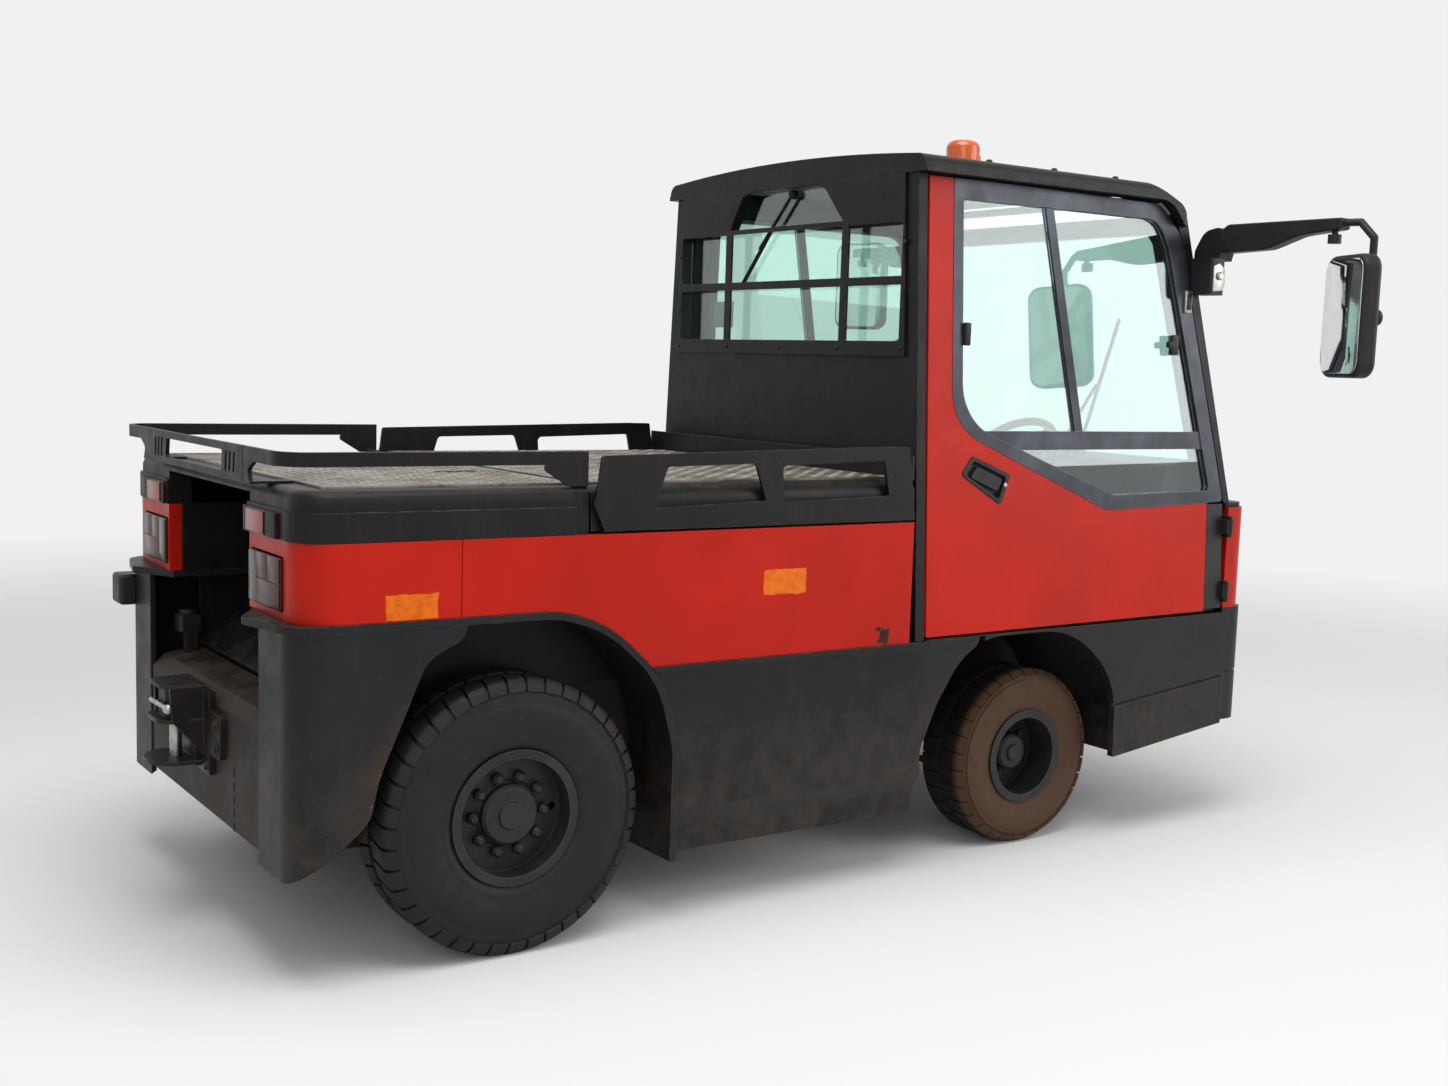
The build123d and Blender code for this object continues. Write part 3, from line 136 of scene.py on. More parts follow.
# Painted sheet steel: enamel over steel. Dust settles on level faces and is thrown up by the wheels. Edges are
# rubbed through, small chips show the primer, and rust creeps in from the wheel arches.
def paintedSteel(name, look):
    material, tree, shader, output = newMaterial(name, look["shader"])
    place = addNode(tree, "ShaderNodeTexCoord").outputs["Object"]
    axes = addNode(tree, "ShaderNodeSeparateXYZ", links={0: place})
    facing = addNode(tree, "ShaderNodeNewGeometry")
    normal = addNode(tree, "ShaderNodeSeparateXYZ", links={0: facing.outputs["Normal"]})
    colour = covered(tree, linear(look["base"]), linear(look["second"]),
                     mottled(tree, place, look["patches"], 0.35, 0.68, 3.0))

    blotches = mottled(tree, place, 14.0, 0.32, 0.7, 6.0, 0.68)
    level = addNode(tree, "ShaderNodeMapRange", {"interpolation_type": "SMOOTHSTEP"}, {
        0: normal.outputs["Z"], 1: 0.5, 2: 0.95, 4: look["settled"]})
    low = addNode(tree, "ShaderNodeMapRange", {"interpolation_type": "SMOOTHSTEP"}, {
        0: axes.outputs["Z"], 1: look["thrownTop"], 2: 0.1, 4: look["thrown"]})
    both = addNode(tree, "ShaderNodeMath", links={0: level.outputs[0], 1: low.outputs[0]})
    colour = covered(tree, colour, linear(look["dust"]), blotches, both.outputs[0])
    runs = addNode(tree, "ShaderNodeMapping", links={0: place, "Scale": (26.0, 26.0, 2.4)})
    colour = covered(tree, colour, linear(look["dust"]),
                     mottled(tree, runs.outputs[0], 1.0, 0.5, 0.8, 4.0), look["runs"])

    rounded = addNode(tree, "ShaderNodeBevel", {"samples": 6}, {"Radius": look["edge"]})
    along = addNode(tree, "ShaderNodeVectorMath", {"operation": "DOT_PRODUCT"}, {
        0: rounded.outputs[0], 1: facing.outputs["Normal"]})
    bent = addNode(tree, "ShaderNodeMapRange", {"interpolation_type": "SMOOTHSTEP"}, {
        0: along.outputs["Value"], 1: 0.985, 2: 0.86, 4: look["wearAndPaintedHighlightShare"]})
    rubbed = mottled(tree, place, 22.0, 0.46, 0.6)
    colour = covered(tree, colour, linear(look["wearAndPaintedHighlight"]), rubbed, bent.outputs[0])

    # each arch: the wheel's x and z, the radius of full rust, the radius and the x where it ends, and its share
    for x, z, inner, outer, front, share in look.get("arches", ()):
        away = addNode(tree, "ShaderNodeVectorMath", {"operation": "SUBTRACT"}, {0: place, 1: (x, 0.0, z)})
        flat = addNode(tree, "ShaderNodeVectorMath", {"operation": "MULTIPLY"}, {
            0: away.outputs[0], 1: (1.0, 0.0, 1.0)})
        reach = addNode(tree, "ShaderNodeVectorMath", {"operation": "LENGTH"}, {0: flat.outputs[0]})
        near = addNode(tree, "ShaderNodeMapRange", {"interpolation_type": "SMOOTHSTEP"}, {
            0: reach.outputs["Value"], 1: outer, 2: inner})
        behind = addNode(tree, "ShaderNodeMapRange", {"interpolation_type": "SMOOTHSTEP"}, {
            0: axes.outputs["X"], 1: front, 2: front - 0.12, 4: share})
        halo = addNode(tree, "ShaderNodeMath", {"operation": "MULTIPLY"}, {
            0: near.outputs[0], 1: behind.outputs[0]})
        film = mottled(tree, place, 9.0, 0.3, 0.72, 6.0, 0.72)
        colour = covered(tree, colour, linear(look["rustFilm"]), film, halo.outputs[0])
        spots = mottled(tree, place, 52.0, 0.6, 0.68, 5.0, 0.75)
        colour = covered(tree, colour, linear(look["rust"]), spots, halo.outputs[0])
    chipped = mottled(tree, place, 75.0, 0.735, 0.76, 2.0)
    colour = covered(tree, colour, linear(look["wearAndPaintedHighlight"]), chipped, look["chips"])

    for patch in look.get("wornPatches", ()):
        colour = covered(tree, colour, patchTone(tree, place, patch), patchMask(tree, place, axes, patch))
    tree.links.new(colour, shader.inputs["Base Color"])
    waves = addNode(tree, "ShaderNodeTexNoise", links={"Vector": place, "Scale": 6.0, "Detail": 2.0})
    buckled = addNode(tree, "ShaderNodeBump", links={
        "Height": waves.outputs["Fac"], "Strength": 0.3, "Distance": 0.0014, "Normal": rounded.outputs[0]})
    relief(tree, shader, place, look, buckled.outputs[0])
    return material


def patchTone(tree, place, patch):  # the colour inside a patch where the top coat has come away
    blotches = mottled(tree, place, 55.0, 0.4, 0.68)
    return covered(tree, linear(patch["colour"]), linear(patch["shade"]), blotches)


def patchMask(tree, place, axes, patch):  # a ragged rectangle, or a ragged blot, on the right-hand side
    wander = addNode(tree, "ShaderNodeTexNoise", links={
        "Vector": place, "Scale": patch["ragScale"], "Detail": 4.0, "Roughness": 0.6})
    side = addNode(tree, "ShaderNodeMapRange", links={0: axes.outputs["Y"], 1: -0.6, 2: -0.64})
    inside = side.outputs[0]
    margin = patch["rag"] / 2
    for socket, centre, half in zip("XZ", patch["middle"], patch["half"]):
        off = addNode(tree, "ShaderNodeMath", {"operation": "SUBTRACT"}, {0: axes.outputs[socket], 1: centre})
        away = addNode(tree, "ShaderNodeMath", {"operation": "ABSOLUTE"}, {0: off.outputs[0]})
        grown = addNode(tree, "ShaderNodeMath", {"operation": "MULTIPLY_ADD"}, {
            0: wander.outputs["Fac"], 1: patch["rag"], 2: away.outputs[0]})
        part = addNode(tree, "ShaderNodeMapRange", {"interpolation_type": "SMOOTHSTEP"}, {
            0: grown.outputs[0], 1: half + margin + 0.0008, 2: half + margin - 0.0008})
        within = addNode(tree, "ShaderNodeMath", {"operation": "MULTIPLY"}, {0: inside, 1: part.outputs[0]})
        inside = within.outputs[0]
    return inside


redEnamel = paintedSteel("redEnamelOnSteel", {
    "shader": {"IOR": 1.5, "Specular IOR Level": 0.16},
    "base": "#b41a08", "second": "#a61808", "patches": 2.2, "dust": "#5d2418", "settled": 0.5, "thrown": 0.3,
    "thrownTop": 0.86, "runs": 0.08, "wearAndPaintedHighlight": "#3a2019", "wearAndPaintedHighlightShare": 0.7, "edge": 0.0025, "chips": 0.4,
    "rough": (0.3, 0.42), "grain": 420.0, "depth": 0.0001,
    "wornPatches": (
        {"middle": (-1.2755, 0.8655), "half": (0.062, 0.0285), "rag": 0.012, "ragScale": 42.0,
         "colour": "#d9690c", "shade": "#c4560a"},
        {"middle": (-0.235, 0.8705), "half": (0.068, 0.033), "rag": 0.012, "ragScale": 42.0,
         "colour": "#dc6d1a", "shade": "#c95c10"},
        {"middle": (0.105, 0.702), "half": (0.019, 0.020), "rag": 0.045, "ragScale": 30.0,
         "colour": "#3a1a12", "shade": "#241410"},
    )})
blackEnamel = paintedSteel("blackEnamelOnSteel", {
    "shader": {"IOR": 1.5, "Specular IOR Level": 0.2},
    "base": "#131314", "second": "#0e0e0f", "patches": 3.0, "dust": "#4a443e", "settled": 0.4, "thrown": 0.5,
    "thrownTop": 0.7, "runs": 0.1, "wearAndPaintedHighlight": "#6b5a4c", "wearAndPaintedHighlightShare": 0.6, "edge": 0.003, "rough": (0.36, 0.52),
    "chips": 0.25, "grain": 380.0, "depth": 0.00015})
greyEnamel = paintedSteel("darkGreyEnamelRusting", {
    "shader": {"IOR": 1.5, "Specular IOR Level": 0.2},
    "base": "#1a1b1d", "second": "#141517", "patches": 2.6, "dust": "#4a3f36", "settled": 0.75, "thrown": 0.5,
    "thrownTop": 0.75, "runs": 0.12, "wearAndPaintedHighlight": "#6a5546", "wearAndPaintedHighlightShare": 0.7, "edge": 0.003, "chips": 0.35,
    "rough": (0.36, 0.52), "rust": "#7a4a28", "rustFilm": "#3d2a20", "grain": 380.0, "depth": 0.0002,
    "arches": ((-0.9995, 0.338, 0.385, 0.445, 0.0, 0.7), (0.7755, 0.268, 0.40, 0.60, 0.80, 0.55))})
frameEnamel = paintedSteel("frameEnamelUnderDust", {
    "shader": {"IOR": 1.5, "Specular IOR Level": 0.2},
    "base": "#1c1917", "second": "#26211d", "patches": 5.0, "dust": "#453b33", "settled": 0.8, "thrown": 0.6,
    "thrownTop": 0.8, "runs": 0.2, "wearAndPaintedHighlight": "#5e4636", "wearAndPaintedHighlightShare": 0.7, "edge": 0.003, "rough": (0.5, 0.72),
    "chips": 0.4, "grain": 240.0, "depth": 0.0004})

# Cast iron: sand-cast and rough, oily black with brown where it is bare
iron = twoTone("castIronBlackened", {
    "shader": {"Metallic": 0.2, "IOR": 1.5, "Specular IOR Level": 0.3},
    "base": "#141413", "second": "#231d19", "patches": 12.0, "wearAndPaintedHighlight": "#4a3c30", "rough": (0.34, 0.6),
    "grain": 260.0, "depth": 0.0008, "edge": 0.004})
# Rim: pressed steel in worn black paint, paler where dust has dried in the dish
rimBlack = twoTone("pressedSteelRimBlack", {
    "shader": {"IOR": 1.5, "Specular IOR Level": 0.3},
    "base": "#161617", "second": "#252423", "patches": 10.0,
    "wearAndPaintedHighlight": "#5a5752", "rough": (0.4, 0.62), "grain": 120.0})
# Chequered steel: hot-rolled, walked bright on the ribs, brown grime between them
chequer = twoTone("chequeredSteelWorn", {
    "shader": {"Metallic": 0.5}, "base": "#85817a", "second": "#5f564c", "patches": 6.0, "grime": "#332c26",
    "grimeScale": 30.0, "grimeFrom": 0.52, "rough": (0.38, 0.62), "grain": 150.0, "edge": 0.001})
# Window frame: extruded aluminium, dark anodised, with a painted highlight in a pale colour along its edges
windowFrame = twoTone("anodisedAluminiumDark", {
    "shader": {"Metallic": 0.6}, "base": "#3c3e46", "second": "#2c2d33", "patches": 8.0, "wearAndPaintedHighlight": "#8d919e",
    "wearAndPaintedHighlightShare": 0.55, "rough": (0.3, 0.44), "grain": 300.0, "depth": 0.0002})
# Bright steel: turned or zinc-plated, dulled by handling
brightSteel = twoTone("brightSteelHandled", {
    "shader": {"Metallic": 1.0}, "base": "#b9b8b4", "second": "#8f8d88", "patches": 20.0, "grime": "#55504a",
    "grimeScale": 40.0, "grimeFrom": 0.58, "rough": (0.24, 0.42), "grain": 300.0, "depth": 0.0002})
# Lenses: moulded acrylic, the lamps' smoked by age and the beacon's glossy
lensLook = {"patches": 20.0, "rough": (0.16, 0.34), "grain": 90.0, "edge": 0.001}
lampRed = twoTone("acrylicLampRed", {
    "shader": {"IOR": 1.49, "Specular IOR Level": 0.3}, "base": "#43100e", "second": "#2c0c0b", **lensLook})
lampClear = twoTone("acrylicLampClear", {
    "shader": {"IOR": 1.49, "Specular IOR Level": 0.3}, "base": "#5c5753", "second": "#46423f", **lensLook})
lampAmber = twoTone("acrylicBeaconAmber", {
    "shader": {"IOR": 1.49, "Transmission Weight": 0.25, "Coat Weight": 0.4, "Coat Roughness": 0.1},
    "base": "#e2620b", "second": "#c64c06", **lensLook})
# Prismatic reflector: red acrylic over a honeycomb that shows as a fine grain
reflectorRed = twoTone("acrylicReflectorRed", {
    "shader": {"IOR": 1.49, "Coat Weight": 0.3, "Coat Roughness": 0.15},
    "base": "#96282a", "second": "#7d2022", "patches": 30.0, "rough": (0.25, 0.4), "grain": 420.0,
    "depth": 0.0008, "edge": 0.001})
# Moulded plastics: black with a fine grain
cabPlastic = twoTone("mouldedPlasticBlack", {
    "shader": {"IOR": 1.46, "Specular IOR Level": 0.3}, "base": "#161617", "second": "#1f1f20",
    "rough": (0.4, 0.56), "grain": 520.0, "depth": 0.0003})
batteryBox = twoTone("batteryTroughGrey", {
    "shader": {"IOR": 1.46}, "base": "#2c2f33", "second": "#232528", "rough": (0.5, 0.65), "grain": 520.0})
# Rubber seals and grips: extruded, matt
sealRubber = twoTone("sealRubberBlack", {
    "shader": {"IOR": 1.5, "Specular IOR Level": 0.25}, "base": "#0f0f10", "second": "#181818",
    "rough": (0.55, 0.7), "grain": 400.0, "depth": 0.0003})
# Mirror: silvered glass, with a little dust
mirrorGlass = twoTone("silveredMirrorGlass", {
    "shader": {"Metallic": 1.0}, "base": "#dcdcdc", "second": "#cfcfce", "rough": (0.03, 0.08), "grain": 60.0,
    "depth": 0.0, "edge": 0.001})
# Vinyl: embossed seat cover with a leather-like grain
vinyl = twoTone("seatVinylBlack", {
    "shader": {"IOR": 1.5, "Sheen Weight": 0.1}, "base": "#1b1c1e", "second": "#232426", "wearAndPaintedHighlight": "#333438",
    "rough": (0.42, 0.56), "grain": 700.0, "depth": 0.0005})
# A bare grey plate: matt card behind the glass
greyCard = twoTone("greyCardMatt", {
    "shader": {"IOR": 1.45}, "base": "#7f8583", "second": "#73797a", "rough": (0.6, 0.8), "grain": 300.0})


# Rubber: moulded and matt, with dust on the side wall that thins out towards the tread
def tyreRubber(name, look):
    material, tree, shader, output = newMaterial(name, {"IOR": 1.5, "Specular IOR Level": 0.25})
    place = addNode(tree, "ShaderNodeTexCoord").outputs["Object"]
    axes = addNode(tree, "ShaderNodeSeparateXYZ", links={0: place})
    blotches = mottled(tree, place, 7.0, 0.3, 0.72, 6.0)
    colour = covered(tree, linear(look["base"]), linear(look["second"]), blotches)
    outward = addNode(tree, "ShaderNodeMath", {"operation": "ABSOLUTE"}, {0: axes.outputs["Y"]})
    wall = addNode(tree, "ShaderNodeMapRange", {"interpolation_type": "SMOOTHSTEP"}, {
        0: outward.outputs[0], 1: look["wallFrom"], 2: look["wallTo"], 4: look["dustShare"]})
    colour = covered(tree, colour, linear(look["dust"]),
                     mottled(tree, place, 16.0, look["dustFrom"], look["dustTo"], 6.0, 0.7), wall.outputs[0])
    colour = covered(tree, colour, linear(look["bright"]), mottled(tree, place, 40.0, 0.56, 0.75),
                     look["brightShare"])
    tree.links.new(colour, shader.inputs["Base Color"])
    relief(tree, shader, place, {"rough": look["rough"], "grain": 180.0, "depth": 0.0008, "edge": 0.002})
    return material


rearRubber = tyreRubber("blackRubberWorn", {
    "base": "#0f0f10", "second": "#161617", "dust": "#232221", "bright": "#32302e",
    "wallFrom": 0.60, "wallTo": 0.66, "dustFrom": 0.3, "dustTo": 0.8, "dustShare": 0.6, "brightShare": 0.1,
    "rough": (0.5, 0.68)})
frontRubber = tyreRubber("rubberUnderBrownDust", {
    "base": "#14120f", "second": "#1c1813", "dust": "#4a3426", "bright": "#6e4c2e",
    "wallFrom": 0.545, "wallTo": 0.562, "dustFrom": 0.1, "dustTo": 0.45, "dustShare": 0.95, "brightShare": 0.12,
    "rough": (0.62, 0.85)})


# Safety glass: float glass, faintly green, whose two faces reflect the bright surroundings strongly
def tintedGlass(name, look):
    material, tree, shader, output = newMaterial(name, {
        "Transmission Weight": 1.0, "IOR": look["ior"], "Base Color": linear(look["tint"])})
    place = addNode(tree, "ShaderNodeTexCoord").outputs["Object"]
    film = mottled(tree, place, 5.0, 0.3, 0.9)
    rough = addNode(tree, "ShaderNodeMapRange", links={0: film, 3: 0.0, 4: 0.02})
    tree.links.new(rough.outputs[0], shader.inputs["Roughness"])
    shadows = addNode(tree, "ShaderNodeLightPath").outputs["Is Shadow Ray"]
    clear = addNode(tree, "ShaderNodeBsdfTransparent", links={0: linear(look["tint"])})
    mixed = addNode(tree, "ShaderNodeMixShader", links={
        0: shadows, 1: shader.outputs[0], 2: clear.outputs[0]})
    tree.links.new(mixed.outputs[0], output.inputs["Surface"])
    return material


glass = tintedGlass("safetyGlassGreen", {"tint": "#d3ece5", "ior": 1.75})
print("materials made")

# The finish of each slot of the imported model
finishOf = {
    "red_paint": redEnamel, "black_paint": blackEnamel, "grey_paint": greyEnamel, "frame_steel": frameEnamel,
    "cast_iron": iron, "tread_plate": chequer, "rim_paint": rimBlack, "bright_steel": brightSteel,
    "rear_tyre_rubber": rearRubber, "front_tyre_rubber": frontRubber, "window_trim": windowFrame,
    "tinted_glass": glass, "lamp_plastic": lampRed, "headlamp_lens": lampClear, "beacon_amber": lampAmber,
    "seat_vinyl": vinyl, "cab_plastic": cabPlastic, "battery_case": batteryBox,
}
for part in frame["record"]["subparts"]:
    shown = nodes[part["node"]]
    for number in range(len(shown.material_slots)):
        shown.material_slots[number].material = finishOf[part["material_slot"]]
    if not shown.material_slots:
        shown.data.materials.append(finishOf[part["material_slot"]])


# Mesh helpers
def addBlock(shape, low, high, bevel=0.0):  # a block between two corners, its edges rounded
    made = bmesh.ops.create_cube(shape, size=1.0)["verts"]
    for vertex in made:
        vertex.co = Vector(low[i] + (high[i] - low[i]) * (vertex.co[i] + 0.5) for i in range(3))
    if bevel:
        edges = list({edge for vertex in made for edge in vertex.link_edges})
        bmesh.ops.bevel(shape, geom=edges, offset=bevel, segments=2, profile=0.5, affect="EDGES")


def addTurned(shape, section, centre, axis=(0, 1, 0), start=0.0, sweep=2 * math.pi, steps=24, lean=0.0):
    # a section of (radius, along) rows turned round an axis; lean shifts the angle as it goes along
    along = Vector(axis).normalized()
    across = along.orthogonal().normalized()
    if abs(along.y) > 0.99:
        across = Vector((1, 0, 0))
    upright = across.cross(along)
    whole = sweep >= 2 * math.pi - 1e-6
    rings = []
    for number in range(steps if whole else steps + 1):
        ring = []
        for radius, distance in section:
            angle = start + sweep * number / steps + lean * distance
            ring.append(shape.verts.new(Vector(centre) + along * distance + radius * (
                across * math.cos(angle) + upright * math.sin(angle))))
        rings.append(ring)
    count = len(section)
    for number in range(steps):
        a, b = rings[number], rings[(number + 1) % len(rings)]
        for i in range(count):
            j = (i + 1) % count
            shape.faces.new((a[i], a[j], b[j], b[i]))
    if not whole:
        shape.faces.new(rings[0])
        shape.faces.new(list(reversed(rings[-1])))


def addRod(shape, start, end, radius, steps=16):  # a bar between two points with eased ends
    line = Vector(end) - Vector(start)
    ease = radius * 0.3
    addTurned(shape, [(0.0001, 0.0), (radius - ease, 0.0), (radius, ease), (radius, line.length - ease),
                      (radius - ease, line.length), (0.0001, line.length)], start, line, steps=steps)


def addPlate(shape, points, depth, origin, across, upright, bevel=0.0):
    # an outline of (a, b) rows on the plane of two directions, thickened along their cross product
    a, b = Vector(across).normalized(), Vector(upright).normalized()
    thick = a.cross(b) * depth
    flat = [Vector(origin) + a * u + b * v for u, v in points]
    back = [shape.verts.new(point) for point in flat]
    front = [shape.verts.new(point + thick) for point in flat]
    faces = [shape.faces.new(list(reversed(back))), shape.faces.new(front)]
    for i in range(len(flat)):
        j = (i + 1) % len(flat)
        faces.append(shape.faces.new((back[i], back[j], front[j], front[i])))
    if bevel:
        edges = list({edge for edge in faces[1].edges})
        bmesh.ops.bevel(shape, geom=edges, offset=bevel, segments=2, profile=0.5, affect="EDGES")


def roundedBox(width, height, radius, steps=5):  # outline of a rectangle with round corners, about its middle
    points = []
    for number, (x, y) in enumerate(((1, 1), (-1, 1), (-1, -1), (1, -1))):
        for step in range(steps + 1):
            angle = math.pi / 2 * (number + step / steps)
            points.append((x * (width / 2 - radius) + radius * math.cos(angle),
                           y * (height / 2 - radius) + radius * math.sin(angle)))
    return points


def finished(name, shape, material, body):  # a mesh in place, on its body, with its finish
    bmesh.ops.remove_doubles(shape, verts=shape.verts, dist=0.00001)
    bmesh.ops.recalc_face_normals(shape, faces=shape.faces)
    mesh = bpy.data.meshes.new(name)
    shape.to_mesh(mesh)
    shape.free()
    mesh.materials.append(material)
    return placed(bpy.data.objects.new(name, mesh), body)


def placed(piece, body):
    bpy.context.scene.collection.objects.link(piece)
    piece.data.shade_smooth()
    piece.data.set_sharp_from_angle(angle=math.radians(35))
    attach(piece, body)
    return piece


# Geometry Nodes that set out copies of one small shape, in a ring or in rows
def newNodeGroup(name, inputs):
    group = bpy.data.node_groups.new(name, "GeometryNodeTree")
    for label, kind in inputs:
        group.interface.new_socket(name=label, in_out="INPUT", socket_type=kind)
    group.interface.new_socket(name="Geometry", in_out="OUTPUT", socket_type="NodeSocketGeometry")
    return group


def endGroup(group, entry, points, turn):  # copies on points, realised, moved and given their material
    copy = addNode(group, "GeometryNodeObjectInfo", links={"Object": entry.outputs["Copy"]})
    copies = addNode(group, "GeometryNodeInstanceOnPoints", links={
        "Points": points, "Instance": copy.outputs["Geometry"], "Rotation": turn})
    real = addNode(group, "GeometryNodeRealizeInstances", links={"Geometry": copies.outputs[0]})
    moved = addNode(group, "GeometryNodeTransform", links={
        "Geometry": real.outputs[0], "Translation": entry.outputs["Centre"]})
    coated = addNode(group, "GeometryNodeSetMaterial", links={
        "Geometry": moved.outputs[0], "Material": entry.outputs["Material"]})
    addNode(group, "NodeGroupOutput", links={"Geometry": coated.outputs[0]})


def makeRingGroup():  # Count copies turned about the Y axis through Centre, the first at Start
    group = newNodeGroup("copiesInARing", (
        ("Copy", "NodeSocketObject"), ("Material", "NodeSocketMaterial"), ("Centre", "NodeSocketVector"),
        ("Count", "NodeSocketInt"), ("Start", "NodeSocketFloat")))
    entry = addNode(group, "NodeGroupInput")
    points = addNode(group, "GeometryNodePoints", links={"Count": entry.outputs["Count"]})
    number = addNode(group, "GeometryNodeInputIndex")
    step = addNode(group, "ShaderNodeMath", {"operation": "DIVIDE"}, {
        0: 2 * math.pi, 1: entry.outputs["Count"]})
    angle = addNode(group, "ShaderNodeMath", {"operation": "MULTIPLY_ADD"}, {
        0: number.outputs[0], 1: step.outputs[0], 2: entry.outputs["Start"]})
    turn = addNode(group, "ShaderNodeCombineXYZ", links={1: angle.outputs[0]})
    endGroup(group, entry, points.outputs[0], turn.outputs[0])
    return group


def makeRowsGroup():  # Columns by Rows copies, each stepped on; Swing turns every other one about the Z axis
    group = newNodeGroup("copiesInRows", (
        ("Copy", "NodeSocketObject"), ("Material", "NodeSocketMaterial"), ("Centre", "NodeSocketVector"),
        ("Columns", "NodeSocketInt"), ("Rows", "NodeSocketInt"), ("Column step", "NodeSocketVector"),
        ("Row step", "NodeSocketVector"), ("Swing", "NodeSocketFloat")))
    entry = addNode(group, "NodeGroupInput")
    count = addNode(group, "ShaderNodeMath", {"operation": "MULTIPLY"}, {
        0: entry.outputs["Columns"], 1: entry.outputs["Rows"]})
    number = addNode(group, "GeometryNodeInputIndex")
    column = addNode(group, "ShaderNodeMath", {"operation": "MODULO"}, {
        0: number.outputs[0], 1: entry.outputs["Columns"]})
    share = addNode(group, "ShaderNodeMath", {"operation": "DIVIDE"}, {
        0: number.outputs[0], 1: entry.outputs["Columns"]})
    row = addNode(group, "ShaderNodeMath", {"operation": "FLOOR"}, {0: share.outputs[0]})
    across = addNode(group, "ShaderNodeVectorMath", {"operation": "SCALE"}, {
        0: entry.outputs["Column step"], "Scale": column.outputs[0]})
    down = addNode(group, "ShaderNodeVectorMath", {"operation": "SCALE"}, {
        0: entry.outputs["Row step"], "Scale": row.outputs[0]})
    spot = addNode(group, "ShaderNodeVectorMath", {"operation": "ADD"}, {
        0: across.outputs[0], 1: down.outputs[0]})
    points = addNode(group, "GeometryNodePoints", links={
        "Count": count.outputs[0], "Position": spot.outputs[0]})
    both = addNode(group, "ShaderNodeMath", {"operation": "ADD"}, {0: column.outputs[0], 1: row.outputs[0]})
    odd = addNode(group, "ShaderNodeMath", {"operation": "MODULO"}, {0: both.outputs[0], 1: 2.0})
    angle = addNode(group, "ShaderNodeMath", {"operation": "MULTIPLY"}, {
        0: odd.outputs[0], 1: entry.outputs["Swing"]})
    turn = addNode(group, "ShaderNodeCombineXYZ", links={2: angle.outputs[0]})
    endGroup(group, entry, points.outputs[0], turn.outputs[0])
    return group


ringGroup = makeRingGroup()
rowsGroup = makeRowsGroup()


def setOut(name, group, shape, values, material):  # runs a node group and returns the plain mesh it makes
    bmesh.ops.recalc_face_normals(shape, faces=shape.faces)
    copyMesh = bpy.data.meshes.new(name + "Copy")
    shape.to_mesh(copyMesh)
    shape.free()
    copy = bpy.data.objects.new(name + "Copy", copyMesh)
    carrier = bpy.data.objects.new(name, bpy.data.meshes.new(name + "Seed"))
    for thing in (copy, carrier):
        bpy.context.scene.collection.objects.link(thing)
    modifier = carrier.modifiers.new("setOut", "NODES")
    modifier.node_group = group
    settings = dict(values, Copy=copy, Material=material)
    for item in group.interface.items_tree:
        if item.in_out == "INPUT" and item.name in settings:
            modifier[item.identifier] = settings[item.name]
    mesh = bpy.data.meshes.new_from_object(carrier.evaluated_get(bpy.context.evaluated_depsgraph_get()))
    mesh.name = name
    for thing in (copy, carrier):
        bpy.data.objects.remove(thing)
    if not mesh.materials:
        mesh.materials.append(material)
    return mesh


def repeated(name, group, shape, values, material, body):
    mesh = setOut(name, group, shape, values, material)
    return placed(bpy.data.objects.new(name, mesh), body)


def middleOf(node):
    low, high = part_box(node)
    return (Vector(low) + Vector(high)) / 2


# Tyres: solid rubber, worn. The rear pair has forty blocks on each shoulder, the front pair thirty-two.
tyreLook = {
    "rear": {"radius": 0.338, "bead": 0.152, "flange": 0.166, "rim": 0.0748, "half": 0.0946, "tread": 0.0765,
             "groove": 0.008, "blocks": 40, "gap": 0.008, "lean": 0.7, "wrap": 0.030},
    "front": {"radius": 0.268, "bead": 0.126, "flange": 0.142, "rim": 0.0798, "half": 0.0946, "tread": 0.078,
              "groove": 0.004, "blocks": 32, "gap": 0.006, "lean": 0.25, "wrap": 0.014},
}


def tyreSection(look):  # the carcass, without its blocks: (radius, along) rows from one bead to the other
    top = look["radius"] - look["groove"]
    wall = look["half"]
    mid = (look["flange"] + look["radius"]) / 2
    flange = look["flange"]
    side = [(look["bead"], look["rim"] - 0.004), (flange - 0.004, look["rim"]),
            (flange + 0.003, look["rim"] + 0.002), (flange + 0.012, wall - 0.010),
            (flange + 0.024, wall - 0.005), (flange + 0.030, wall - 0.0062), (flange + 0.034, wall - 0.0045),
            (mid - 0.010, wall - 0.0012), (mid + 0.008, wall - 0.0008), (mid + 0.026, wall - 0.0028),
            (mid + 0.030, wall - 0.0042), (mid + 0.034, wall - 0.0036), (top - 0.026, wall - 0.0075),
            (top - 0.012, look["tread"] + 0.006), (top - 0.004, look["tread"] - 0.001),
            (top, look["tread"] - 0.009)]
    return [(radius, -along) for radius, along in side] + list(reversed(side))


def addShoulderBlock(shape, look, side):  # one tread block: it runs from near the middle over the shoulder
    outer, wall, tread = look["radius"], look["half"], look["tread"]
    low = outer - look["groove"] - 0.004
    end = outer - look["wrap"]
    half = [(low, 0.010), (outer - 0.001, 0.010), (outer, 0.012), (outer, tread - 0.006),
            (outer - 0.003, tread), (outer - 0.010, tread + 0.0065), (end, wall - 0.0022),
            (end - 0.004, wall - 0.0075), (outer - 0.020, tread - 0.004)]
    section = [(radius, side * along) for radius, along in half]
    pitch = 2 * math.pi / look["blocks"]
    share = pitch - look["gap"] / outer
    addTurned(shape, section, (0, 0, 0), start=side * pitch / 4 - share / 2, sweep=share, steps=3,
              lean=side * look["lean"])


